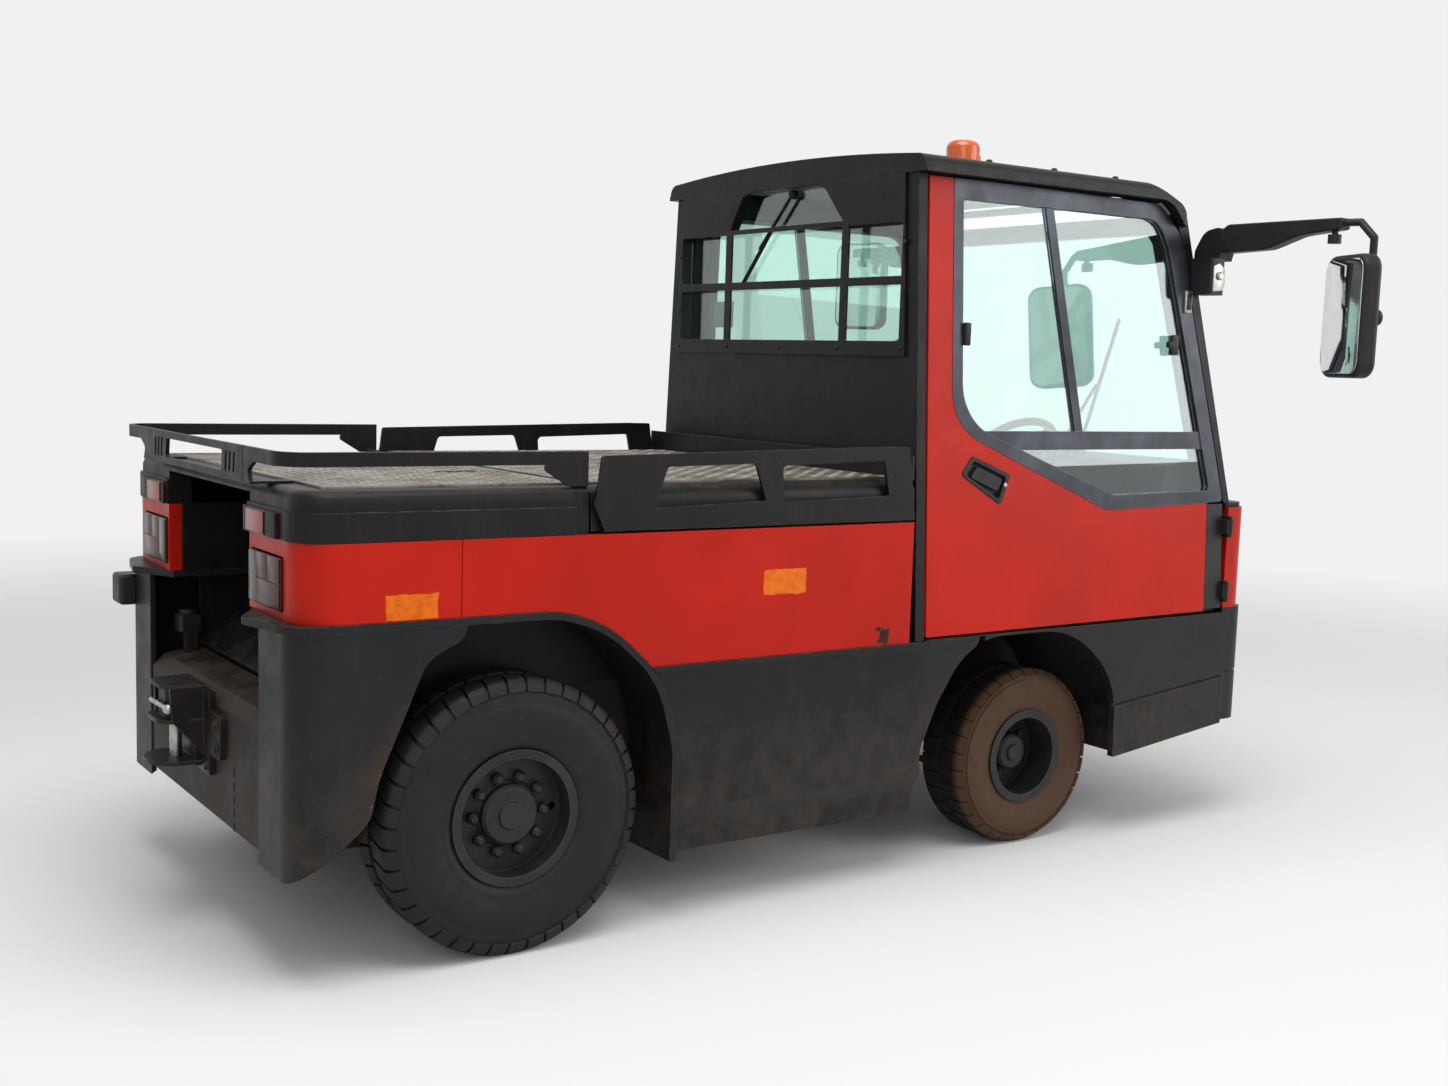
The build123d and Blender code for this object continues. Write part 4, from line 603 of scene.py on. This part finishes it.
def makeTyre(node, body, look, material):
    centre = middleOf(node)
    shape = bmesh.new()
    addTurned(shape, tyreSection(look), centre, steps=120)
    tyre = finished(node + "Carcass", shape, material, body)
    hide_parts(node)
    blocks = bmesh.new()
    for side in (-1, 1):
        addShoulderBlock(blocks, look, side)
    repeated(node + "Tread", ringGroup, blocks, {"Centre": centre, "Count": look["blocks"], "Start": 0.0},
             material, body)


for node, bodyName in (("tyre_rear_r", "rear_wheel_right"), ("tyre_rear_l", "rear_wheel_left")):
    makeTyre(node, bodyName, tyreLook["rear"], rearRubber)
for node, bodyName in (("tyre_front_r", "front_wheel_right"), ("tyre_front_l", "front_wheel_left")):
    makeTyre(node, bodyName, tyreLook["front"], frontRubber)
print("tyres made")

# Small fixings, each drawn about the origin with its head facing the way it is set
def domeHead(facing, radius, height):
    shape = bmesh.new()
    addTurned(shape, [(0.0001, 0.0), (radius, 0.0), (radius * 0.94, height * 0.5),
                      (radius * 0.6, height * 0.88), (0.0001, height)], (0, 0, 0), facing, steps=14)
    return shape


def hexHead(facing, radius, height):
    shape = bmesh.new()
    addTurned(shape, [(0.0001, 0.0), (radius, 0.0), (radius, height * 0.85), (radius * 0.9, height),
                      (0.0001, height)], (0, 0, 0), facing, steps=6)
    washer, thick = radius * 1.35, height * 0.2
    disc = [(0.0001, 0.0), (washer, 0.0), (washer, thick), (0.0001, thick)]
    addTurned(shape, disc, (0, 0, 0), facing, steps=18)
    return shape


def fixings(name, head, first, columns, columnStep, rows, rowStep, material, body):
    repeated(name, rowsGroup, head, {
        "Centre": first, "Columns": columns, "Column step": columnStep, "Rows": rows, "Row step": rowStep,
        "Swing": 0.0}, material, body)


# Deck plates: rolled diamond pattern on the lid and on the near half of the rear deck, slats on its other half
deckLook = {"pitch": 0.0300, "length": 0.0245, "width": 0.0085, "rise": 0.0016, "margin": 0.018, "near": 0.56,
            "slat": 0.037, "slatPitch": 0.0560, "slats": 11, "bar": 0.024, "barDrop": 0.003, "seam": 0.012,
            "slotFrom": (0.12, -0.200), "slotTo": (0.23, -0.182)}


def addLozenge(shape, look):
    turn = Matrix.Rotation(math.radians(45), 3, "Z")
    rings = []
    for size, height in ((1.0, -0.0004), (0.62, look["rise"])):
        long, wide = look["length"] / 2 * size, look["width"] / 2 * size
        corners = ((long, 0, height), (0, wide, height), (-long, 0, height), (0, -wide, height))
        rings.append([shape.verts.new(turn @ Vector(corner)) for corner in corners])
    shape.faces.new(rings[1])
    for i in range(4):
        j = (i + 1) % 4
        shape.faces.new((rings[0][i], rings[0][j], rings[1][j], rings[1][i]))


def layLozenges(name, low, high, top, body):
    shape = bmesh.new()
    addLozenge(shape, deckLook)
    columns = int((high[0] - low[0] - 2 * deckLook["margin"]) / deckLook["pitch"]) + 1
    rows = int((high[1] - low[1] - 2 * deckLook["margin"]) / deckLook["pitch"]) + 1
    spareX = (high[0] - low[0] - (columns - 1) * deckLook["pitch"]) / 2
    spareY = (high[1] - low[1] - (rows - 1) * deckLook["pitch"]) / 2
    repeated(name, rowsGroup, shape, {
        "Centre": (low[0] + spareX, low[1] + spareY, top), "Columns": columns, "Rows": rows,
        "Column step": (deckLook["pitch"], 0.0, 0.0), "Row step": (0.0, deckLook["pitch"], 0.0),
        "Swing": math.pi / 2}, chequer, body)


def makeDeckPlates():
    low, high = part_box("rear_deck_plate")
    split = low[1] + deckLook["near"]
    shape = bmesh.new()
    addBlock(shape, low, (high[0], split, high[2]), 0.0012)
    slatsStart = split + deckLook["seam"]
    bar = deckLook["bar"]
    for x in (low[0], (low[0] + high[0]) / 2 - bar / 2, high[0] - bar):
        addBlock(shape, (x, slatsStart, low[2]), (x + bar, high[1], high[2] - deckLook["barDrop"]), 0.001)
    plates = finished("deckPlates", shape, chequer, "chassis")
    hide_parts("rear_deck_plate")
    slat = bmesh.new()
    addBlock(slat, (low[0] + 0.002, 0.0, -0.010), (high[0] - 0.002, deckLook["slat"], 0.0), 0.0015)
    repeated("deckSlats", rowsGroup, slat, {
        "Centre": (0.0, slatsStart + 0.004, high[2]), "Columns": 1, "Rows": deckLook["slats"],
        "Column step": (0.0, 0.0, 0.0), "Row step": (0.0, deckLook["slatPitch"], 0.0), "Swing": 0.0},
        chequer, "chassis")
    layLozenges("deckDiamonds", low, (high[0], split, high[2]), high[2], "chassis")
    # The lock slot in the deck: a thin dark rubber block on the plate, painted shade where the slot's hollow is
    slot = bmesh.new()
    middle = (low[0] + high[0]) / 2
    (x0, y0), (x1, y1) = deckLook["slotFrom"], deckLook["slotTo"]
    addBlock(slot, (middle + x0, split + y0, high[2] - 0.001),
             (middle + x1, split + y1, high[2] + 0.0018), 0.0006)
    finished("deckLockSlot", slot, sealRubber, "chassis")


makeDeckPlates()
lidLow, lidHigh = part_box("lid_plate")
layLozenges("lidDiamonds", lidLow, lidHigh, lidHigh[2], "battery_lid")
print("deck laid")

# Rear lamps: lens segments on each lamp, and the reflector with its dark housing above
lampLook = {"face": -1.5375, "proud": 0.0022, "low": 0.8545, "high": 0.9705, "split": 0.911, "inner": 0.3525,
            "divide": 0.405, "bar": 0.480, "outer": 0.560, "gap": 0.002,
            "reflector": (0.361, 0.483, 1.018, 1.068), "reflectorFace": -1.5485,
            "housing": (0.3355, 0.5525, 1.0145, 1.0715), "housingFace": -1.5455}


def makeRearLamps(side, label):
    face, back = lampLook["face"], lampLook["face"] - lampLook["proud"]

    def segment(shape, inner, outer, low, high, depth=back, seat=face, bevel=0.0012):
        addBlock(shape, (depth, min(side * inner, side * outer), low),
                 (seat, max(side * inner, side * outer), high), bevel)

    red, clear, mirrored, housing = bmesh.new(), bmesh.new(), bmesh.new(), bmesh.new()
    gap = lampLook["gap"]
    segment(red, lampLook["divide"] + gap, lampLook["bar"], lampLook["split"] + gap, lampLook["high"])
    segment(red, lampLook["bar"] + gap, lampLook["outer"], lampLook["split"] + gap, lampLook["high"])
    segment(red, lampLook["divide"] + gap, lampLook["outer"], lampLook["low"], lampLook["split"])
    segment(clear, lampLook["inner"], lampLook["divide"], lampLook["low"], lampLook["high"])
    inner, outer, low, high = lampLook["reflector"]
    segment(mirrored, inner, outer, low, high, lampLook["reflectorFace"] - 0.0015, lampLook["reflectorFace"])
    left, right, bottom, top = lampLook["housing"]
    for a, b in ((left, inner - 0.003), (outer + 0.003, right)):
        segment(housing, a, b, bottom, top, lampLook["housingFace"] - 0.0016, lampLook["housingFace"], 0.0007)
    finished("lampSegmentsRed" + label, red, lampRed, "chassis")
    finished("lampSegmentClear" + label, clear, lampClear, "chassis")
    finished("reflector" + label, mirrored, reflectorRed, "chassis")
    finished("reflectorHousing" + label, housing, cabPlastic, "chassis")


for side, label in ((-1, "Right"), (1, "Left")):
    makeRearLamps(side, label)

# Headlamps: a bezel and upright flutes over each lens
headlampLook = {"y": 0.480, "z": 0.860, "radius": 0.078, "face": 1.6685, "flutes": 9, "pitch": 0.014,
                "fluteHalf": 0.048}
for side, label in ((-1, "Right"), (1, "Left")):
    middle = (headlampLook["face"], side * headlampLook["y"], headlampLook["z"])
    bezel = bmesh.new()
    radius = headlampLook["radius"]
    addTurned(bezel, [(radius + 0.001, 0.0), (radius + 0.010, 0.0), (radius + 0.009, 0.004),
                      (radius + 0.003, 0.006), (radius, 0.004)], middle, (1, 0, 0), steps=48)
    finished("headlampBezel" + label, bezel, cabPlastic, "chassis")
    flute = bmesh.new()
    half = headlampLook["fluteHalf"]
    addTurned(flute, [(0.0001, -half), (0.003, 0.002 - half), (0.003, half - 0.002), (0.0001, half)],
              (0, 0, 0), (0, 0, 1), steps=8)
    count, pitch = headlampLook["flutes"], headlampLook["pitch"]
    first = (headlampLook["face"] - 0.0012, middle[1] - (count - 1) / 2 * pitch, middle[2])
    fixings("headlampFlutes" + label, flute, first, count, (0.0, pitch, 0.0), 1, (0.0, 0.0, 0.0),
            lampClear, "chassis")
print("lamps made")

# Mirrors: silvered glass in each head, and the bright clamp that the arm folds on
mirrorLook = {"turn": 25.0, "width": 0.196, "height": 0.326, "corner": 0.036, "proud": 0.0015,
              "clampSide": 0.7022, "clampFoot": (1.356, 1.700), "clampPin": (1.381, 1.748), "pinRadius": 0.013,
              "heads": (("Right", -1, (1.3505, 1.170, 1.620)), ("Left", 1, (1.4665, 1.170, 1.763)))}
for label, side, (x, y, z) in mirrorLook["heads"]:
    turn = math.radians(mirrorLook["turn"])
    inward = Vector((math.sin(turn), -side * math.cos(turn), 0.0))
    facing = Vector((-math.cos(turn), -side * math.sin(turn), 0.0))
    across = inward if side < 0 else -inward
    middle = Vector((x, side * y, z))
    pane = bmesh.new()
    outline = roundedBox(mirrorLook["width"], mirrorLook["height"], mirrorLook["corner"])
    flip = 1 if across.cross(Vector((0, 0, 1))).dot(facing) > 0 else -1
    addPlate(pane, outline, mirrorLook["proud"] * flip, middle, across, (0, 0, 1), 0.0005)
    finished("mirrorGlass" + label, pane, mirrorGlass, "chassis")
    clamp = bmesh.new()
    outerY = side * mirrorLook["clampSide"]
    footX, footZ = mirrorLook["clampFoot"]
    pinX, pinZ = mirrorLook["clampPin"]
    ear = [(0.0, 0.0), (0.046, 0.004), (0.054, 0.030), (0.050, 0.072), (0.024, 0.088), (0.0, 0.078)]
    addPlate(clamp, ear, -0.004 * side, (footX, outerY, footZ), (1, 0, 0), (0, 0, 1), 0.001)
    addRod(clamp, (pinX, outerY + side * 0.004, pinZ), (pinX, outerY + side * 0.013, pinZ),
           mirrorLook["pinRadius"], 20)
    finished("mirrorClamp" + label, clamp, brightSteel, "chassis")
print("mirrors made")


# Doors: window latches, the block of the window's front hinge, the lock, and screws on the hinge cover
doorLook = {"sill": 0.686, "halfWidth": 0.681, "lean": 0.0545, "rearLatch": (0.388, 0.410, 1.502, 1.566),
            "frontLatch": (1.252, 1.284, 1.500, 1.562), "latchArm": (1.232, 1.260, 1.522, 1.542),
            "stayBlock": (1.314, 1.346, 1.632, 1.702), "lock": (0.5585, 1.108), "lockRadius": 0.0075,
            "coverScrew": (1.492, 0.760), "screwStep": 0.12}


def sideY(z):  # half width of the cab's side at a height
    return doorLook["halfWidth"] - doorLook["lean"] * (z - doorLook["sill"])


def addSideBlock(shape, side, x0, x1, near, far, z0, z1, bevel):  # near and far count from the middle plane
    addBlock(shape, (x0, min(side * near, side * far), z0), (x1, max(side * near, side * far), z1), bevel)


for side, body, label in ((-1, "right_door", "Right"), (1, "left_door", "Left")):
    grips, bright = bmesh.new(), bmesh.new()
    for x0, x1, z0, z1 in (doorLook["rearLatch"], doorLook["frontLatch"]):
        addSideBlock(grips, side, x0, x1, sideY(z0) - 0.004, sideY((z0 + z1) / 2) + 0.014, z0, z1, 0.004)
    x0, x1, z0, z1 = doorLook["latchArm"]
    addSideBlock(grips, side, x0, x1, sideY(1.53) + 0.004, sideY(1.53) + 0.018, z0, z1, 0.004)
    x0, x1, z0, z1 = doorLook["stayBlock"]
    face = sideY(z0) + 0.009
    addSideBlock(bright, side, x0, x1, sideY(z1) - 0.001, face, z0, z1, 0.003)
    addSideBlock(grips, side, x0 + 0.006, x1 - 0.006, face - 0.001, face + 0.003, z0 + 0.010, z1 - 0.010, 0.002)
    lockX, lockZ = doorLook["lock"]
    lockY = sideY(lockZ)
    addRod(bright, (lockX, side * (lockY + 0.001), lockZ), (lockX, side * (lockY + 0.0045), lockZ),
           doorLook["lockRadius"], 20)
    finished("windowLatches" + label, grips, cabPlastic, body)
    finished("doorBrightFittings" + label, bright, brightSteel, body)
    screwX, screwZ = doorLook["coverScrew"]
    coverFace = side * (sideY(0.86) + 0.0002)
    rise = doorLook["screwStep"]
    fixings("hingeCoverScrews" + label, domeHead((0, side, 0), 0.006, 0.003), (screwX, coverFace, screwZ), 1,
            (0.0, 0.0, 0.0), 3, (0.0, -side * doorLook["lean"] * rise, rise), cabPlastic, body)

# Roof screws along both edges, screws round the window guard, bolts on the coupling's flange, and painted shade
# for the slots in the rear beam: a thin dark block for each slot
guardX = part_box("window_guard")[0][0]
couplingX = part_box("coupling")[1][0]
# Each beam slot is a thin dark rubber block on the beam's face, painted shade where the slot's hollow is
beamSlotShade = bmesh.new()
addBlock(beamSlotShade, (-0.0012, -0.004, -0.010), (0.0, 0.004, 0.010), 0.0005)
rearward = (-1, 0, 0)
fixingRows = (  # name, head, first place, columns, the step between them, rows, their step, material, slot
    ("roofScrews", domeHead((0, 0, 1), 0.010, 0.008), (0.4925, -0.598, 2.0195), 3, (0.2585, 0.0, 0.0),
     2, (0.0, 1.196, 0.0), cabPlastic, "cab_plastic"),
    ("guardScrews", domeHead(rearward, 0.0065, 0.004), (guardX, -0.570, 1.487), 5, (0.0, 0.285, 0.0),
     1, (0.0, 0.0, 0.0), cabPlastic, "cab_plastic"),
    ("guardSideScrews", domeHead(rearward, 0.0065, 0.004), (guardX, -0.574, 1.600), 2, (0.0, 1.148, 0.0),
     2, (0.0, 0.0, 0.180), cabPlastic, "cab_plastic"),
    ("flangeBolts", hexHead(rearward, 0.012, 0.009), (couplingX - 0.016, -0.178, 0.462), 2, (0.0, 0.356, 0.0),
     2, (0.0, 0.0, 0.058), iron, "cast_iron"),
    ("flangeLowBolts", hexHead(rearward, 0.011, 0.009), (couplingX - 0.016, -0.100, 0.402), 2,
     (0.0, 0.200, 0.0), 1, (0.0, 0.0, 0.0), iron, "cast_iron"),
    ("beamSlots", beamSlotShade, (couplingX + 0.0003, -0.262, 0.285), 1, (0.0, 0.0, 0.0),
     5, (0.0, 0.0, 0.034), sealRubber, "cab_plastic"),
)
for name, head, first, columns, columnStep, rows, rowStep, material, slotName in fixingRows:
    fixings(name, head, first, columns, columnStep, rows, rowStep, material, "chassis")
print("fixings set")

# Wipers: an arm and a blade over each upright window, and the bare card behind the rear glass.
# The rear wiper's places are points. The front one's are (distance to the left, height) on the windscreen.
wiperLook = {"armRadius": 0.0055, "bladeRadius": 0.0065, "bossRadius": 0.014, "lift": 0.004,
             "rear": ((0.2405, -0.010, 1.948), (0.2385, 0.150, 1.790), (0.2395, 0.085, 1.858),
                      (0.2395, 0.255, 1.672)),
             "front": ((0.10, 1.125), (-0.16, 1.40), (-0.06, 1.20), (-0.30, 1.62)),
             "screenFoot": (1.5425, 1.054), "screenLean": 0.2583}
cardLook = {"low": (0.2636, 0.318, 1.548), "high": (0.2656, 0.430, 1.632)}


def makeWiper(name, pivot, elbow, bladeStart, bladeEnd, out):
    shape = bmesh.new()
    addRod(shape, pivot, elbow, wiperLook["armRadius"], 12)
    lifted = Vector(out) * wiperLook["lift"]
    addRod(shape, Vector(bladeStart) - lifted, Vector(bladeEnd) - lifted, wiperLook["bladeRadius"], 12)
    addRod(shape, Vector(pivot) - lifted * 4, Vector(pivot) + lifted * 2, wiperLook["bossRadius"], 20)
    finished(name, shape, sealRubber, "chassis")


def screenPoint(y, z):  # a point just in front of the windscreen's glass
    footX, footZ = wiperLook["screenFoot"]
    return (footX - (z - footZ) * wiperLook["screenLean"], y, z)


makeWiper("wiperRear", *wiperLook["rear"], (-1, 0, 0))
makeWiper("wiperFront", *[screenPoint(y, z) for y, z in wiperLook["front"]], (0.97, 0, 0.25))
card = bmesh.new()
addBlock(card, cardLook["low"], cardLook["high"], 0.0006)
finished("bareCard", card, greyCard, "chassis")


# Cab: an instrument hood with two dials, a row of rockers, and two pedals
cabLook = {"hoodLow": (1.335, -0.165, 1.135), "hoodHigh": (1.420, 0.165, 1.215), "hoodRound": 0.018,
           "dialX": 1.3355, "dialZ": 1.175, "dials": (-0.080, 0.080), "dialRadius": 0.040,
           "rockerFirst": (1.3105, -0.510, 1.085), "rockers": 6, "rockerStep": 0.034,
           "pedals": (-0.140, 0.010), "pedalHalf": 0.035, "pedalHeight": 0.110, "pedalFoot": (1.300, 0.640),
           "stemLow": (1.345, 0.700), "stemHigh": (1.430, 0.880), "stemRadius": 0.007}


def makeCabFittings():
    hood = bmesh.new()
    addBlock(hood, cabLook["hoodLow"], cabLook["hoodHigh"], cabLook["hoodRound"])
    finished("instrumentHood", hood, cabPlastic, "chassis")
    dials = bmesh.new()
    radius = cabLook["dialRadius"]
    for y in cabLook["dials"]:
        addTurned(dials, [(0.0001, 0.0), (radius, 0.0), (radius + 0.004, 0.004), (radius, 0.007),
                          (radius - 0.004, 0.003), (0.0001, 0.003)],
                  (cabLook["dialX"], y, cabLook["dialZ"]), (-1, 0, 0), steps=32)
    finished("instrumentDials", dials, greyCard, "chassis")
    rocker = bmesh.new()
    addBlock(rocker, (-0.006, -0.011, -0.018), (0.003, 0.011, 0.018), 0.002)
    fixings("rockerSwitches", rocker, cabLook["rockerFirst"], cabLook["rockers"],
            (0.0, cabLook["rockerStep"], 0.0), 1, (0.0, 0.0, 0.0), sealRubber, "chassis")
    pedals = bmesh.new()
    half, height = cabLook["pedalHalf"], cabLook["pedalHeight"]
    footX, footZ = cabLook["pedalFoot"]
    (x0, z0), (x1, z1) = cabLook["stemLow"], cabLook["stemHigh"]
    for y in cabLook["pedals"]:
        addPlate(pedals, [(-half, 0.0), (half, 0.0), (half, height), (-half, height)], 0.010,
                 (footX, y, footZ), (0, -1, 0), (0.55, 0, 0.84), 0.002)
        addRod(pedals, (x0, y, z0), (x1, y, z1), cabLook["stemRadius"], 12)
    finished("pedals", pedals, sealRubber, "chassis")


makeCabFittings()
print("cab fitted")

# Seat: two vinyl pads with sewn channels, swelled by a short cloth simulation. Each pad has its low and high
# corner, how far it leans back over its height, and the level of what it lies on.
seatLook = {"cushion": ((0.278, -0.242, 0.9012), (0.742, 0.242, 0.990), 0.0, 0.9005),
            "back": ((0.272, -0.232, 1.012), (0.352, 0.232, 1.232), -0.04, 1.0010),
            "round": 0.028, "tuck": 0.002, "voxel": 0.006, "pressure": 4.0, "frames": 20, "cap": 0.009,
            "channel": 0.0035, "channelHalf": 0.007, "channels": (-0.125, 0.125)}


def swell(piece, cap):  # cloth blown up a little from its own shape, its points kept near where they began
    first = [vertex.co.copy() for vertex in piece.data.vertices]
    cloth = piece.modifiers.new("swell", "CLOTH")
    cloth.settings.quality = 3
    cloth.settings.use_pressure = True
    cloth.settings.uniform_pressure_force = seatLook["pressure"]
    cloth.settings.effector_weights.gravity = 0.0
    scene = bpy.context.scene
    for number in range(1, seatLook["frames"] + 1):
        scene.frame_set(number)
    mesh = bpy.data.meshes.new_from_object(piece.evaluated_get(bpy.context.evaluated_depsgraph_get()))
    piece.modifiers.clear()
    scene.frame_set(1)
    for vertex, start in zip(mesh.vertices, first):
        moved = vertex.co - start
        if moved.length > cap:
            vertex.co = start + moved.normalized() * cap
    piece.data = mesh
    if not mesh.materials:
        mesh.materials.append(vinyl)


def makePad(name, low, high, lean, floorZ):
    shape = bmesh.new()
    addBlock(shape, low, high, seatLook["round"])
    for vertex in shape.verts:  # drawn in a little towards the middle, and leaning as the back does
        u = (vertex.co.y - low[1]) / (high[1] - low[1]) * 2 - 1
        vertex.co.x += lean * (vertex.co.z - low[2])
        vertex.co.y -= math.copysign(seatLook["tuck"], u) * (1 - abs(u))
    bmesh.ops.recalc_face_normals(shape, faces=shape.faces)
    mesh = bpy.data.meshes.new(name)
    shape.to_mesh(mesh)
    shape.free()
    mesh.materials.append(vinyl)
    pad = bpy.data.objects.new(name, mesh)
    bpy.context.scene.collection.objects.link(pad)
    fine = pad.modifiers.new("fine", "REMESH")
    fine.mode = "VOXEL"
    fine.voxel_size = seatLook["voxel"]
    pad.data = bpy.data.meshes.new_from_object(pad.evaluated_get(bpy.context.evaluated_depsgraph_get()))
    pad.modifiers.clear()
    if not pad.data.materials:
        pad.data.materials.append(vinyl)
    swell(pad, seatLook["cap"])
    for vertex in pad.data.vertices:
        for line in seatLook["channels"]:
            near = max(0.0, 1 - abs(vertex.co.y - line) / seatLook["channelHalf"])
            vertex.co -= vertex.normal * seatLook["channel"] * near * near
        vertex.co.z = max(vertex.co.z, floorZ)
    pad.data.shade_smooth()
    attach(pad, "chassis")
    return pad


cushionPad = makePad("seatCushion", *seatLook["cushion"])
backPad = makePad("seatBack", *seatLook["back"])
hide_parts("seat")
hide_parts("seat")
print("seat padded")

# Floor, backdrop and light. Far from the tractor the floor turns into the backdrop's own even tone.
studio = {"tone": "#f1f1f1", "floor": "#dedede", "fadeFrom": 3.0, "fadeTo": 9.0, "floorRadius": 60.0,
          "strength": 0.5}
lampRows = (  # name, place, what it is aimed at, size, power, outline
    ("overheadSoftbox", (-1.0, -1.5, 6.5), (0.0, 0.0, 0.6), 5.0, 330.0, "DISK"),
    ("sideSoftbox", (-4.5, -6.0, 3.6), (0.0, 0.0, 0.9), 3.5, 75.0, "DISK"),
    ("glassSoftbox", (5.9, -5.6, 3.9), (5.2, -4.9, 3.9), 5.2, 265.0, "SQUARE"),
)


def seenShare(tree):  # 1 where the eye sees a thing straight, mirrored or through glass, 0 where it only lights
    path = addNode(tree, "ShaderNodeLightPath")
    first = addNode(tree, "ShaderNodeMath", {"use_clamp": True}, {
        0: path.outputs["Is Camera Ray"], 1: path.outputs["Is Glossy Ray"]})
    seen = addNode(tree, "ShaderNodeMath", {"use_clamp": True}, {
        0: first.outputs[0], 1: path.outputs["Is Transmission Ray"]})
    return seen.outputs[0]


def stageFloor():
    mesh = bpy.data.meshes.new("studioFloor")
    shape = bmesh.new()
    bmesh.ops.create_circle(shape, cap_ends=True, segments=96, radius=studio["floorRadius"])
    shape.to_mesh(mesh)
    shape.free()
    floor = bpy.data.objects.new("studioFloor", mesh)
    bpy.context.scene.collection.objects.link(floor)
    material, tree, shader, output = newMaterial("studioFloorMatt", {
        "Base Color": linear(studio["floor"]), "Roughness": 0.75})
    place = addNode(tree, "ShaderNodeTexCoord").outputs["Object"]
    away = addNode(tree, "ShaderNodeVectorMath", {"operation": "LENGTH"}, {0: place}).outputs["Value"]
    far = addNode(tree, "ShaderNodeMapRange", {"interpolation_type": "SMOOTHSTEP"}, {
        0: away, 1: studio["fadeFrom"], 2: studio["fadeTo"]})
    share = addNode(tree, "ShaderNodeMath", {"operation": "MULTIPLY"}, {0: seenShare(tree), 1: far.outputs[0]})
    even = addNode(tree, "ShaderNodeEmission", links={0: linear(studio["tone"]), 1: 1.0})
    mixed = addNode(tree, "ShaderNodeMixShader", links={
        0: share.outputs[0], 1: shader.outputs[0], 2: even.outputs[0]})
    tree.links.new(mixed.outputs[0], output.inputs["Surface"])
    mesh.materials.append(material)


def studioWorld():
    world = bpy.data.worlds.new("studioWorld")
    bpy.context.scene.world = world
    world.use_nodes = True
    tree = world.node_tree
    tree.nodes.clear()
    light = addNode(tree, "ShaderNodeBackground", links={0: linear("#ffffff"), 1: studio["strength"]})
    backdrop = addNode(tree, "ShaderNodeBackground", links={0: linear(studio["tone"]), 1: 1.0})
    mixed = addNode(tree, "ShaderNodeMixShader", links={
        0: seenShare(tree), 1: light.outputs[0], 2: backdrop.outputs[0]})
    addNode(tree, "ShaderNodeOutputWorld", links={"Surface": mixed.outputs[0]})


def areaLamp(name, place, target, size, power, outline):
    data = bpy.data.lights.new(name, "AREA")
    data.shape = outline
    data.size = size
    data.energy = power
    lamp = bpy.data.objects.new(name, data)
    bpy.context.scene.collection.objects.link(lamp)
    lamp.location = place
    lamp.rotation_euler = (Vector(target) - Vector(place)).to_track_quat("-Z", "Y").to_euler()


stageFloor()
studioWorld()
for row in lampRows:
    areaLamp(*row)

# Camera as solved from the photograph: where it stands, where it looks and its focal length in pixels
view = {"place": (-2.7196, -4.0162, 1.4296), "yaw": 0.6012, "pitch": -0.111, "roll": 0.0315, "focal": 1606.34,
        "width": 1448.0, "sensor": 36.0}


def photoCamera():
    level = math.cos(view["pitch"])
    ahead = Vector((math.sin(view["yaw"]) * level, math.cos(view["yaw"]) * level, math.sin(view["pitch"])))
    rightward = ahead.cross(Vector((0, 0, 1))).normalized()
    upright = rightward.cross(ahead)
    across = math.cos(view["roll"]) * rightward + math.sin(view["roll"]) * upright
    up = -math.sin(view["roll"]) * rightward + math.cos(view["roll"]) * upright
    data = bpy.data.cameras.new("photoCamera")
    data.sensor_width = view["sensor"]
    data.lens = view["focal"] / view["width"] * view["sensor"]
    camera = bpy.data.objects.new("photoCamera", data)
    bpy.context.scene.collection.objects.link(camera)
    turn = Matrix((across, up, -ahead)).transposed().to_4x4()
    camera.matrix_world = Matrix.Translation(view["place"]) @ turn
    bpy.context.scene.camera = camera


photoCamera()
bpy.context.scene.view_settings.view_transform = "Standard"
print("stage, lights and camera set")
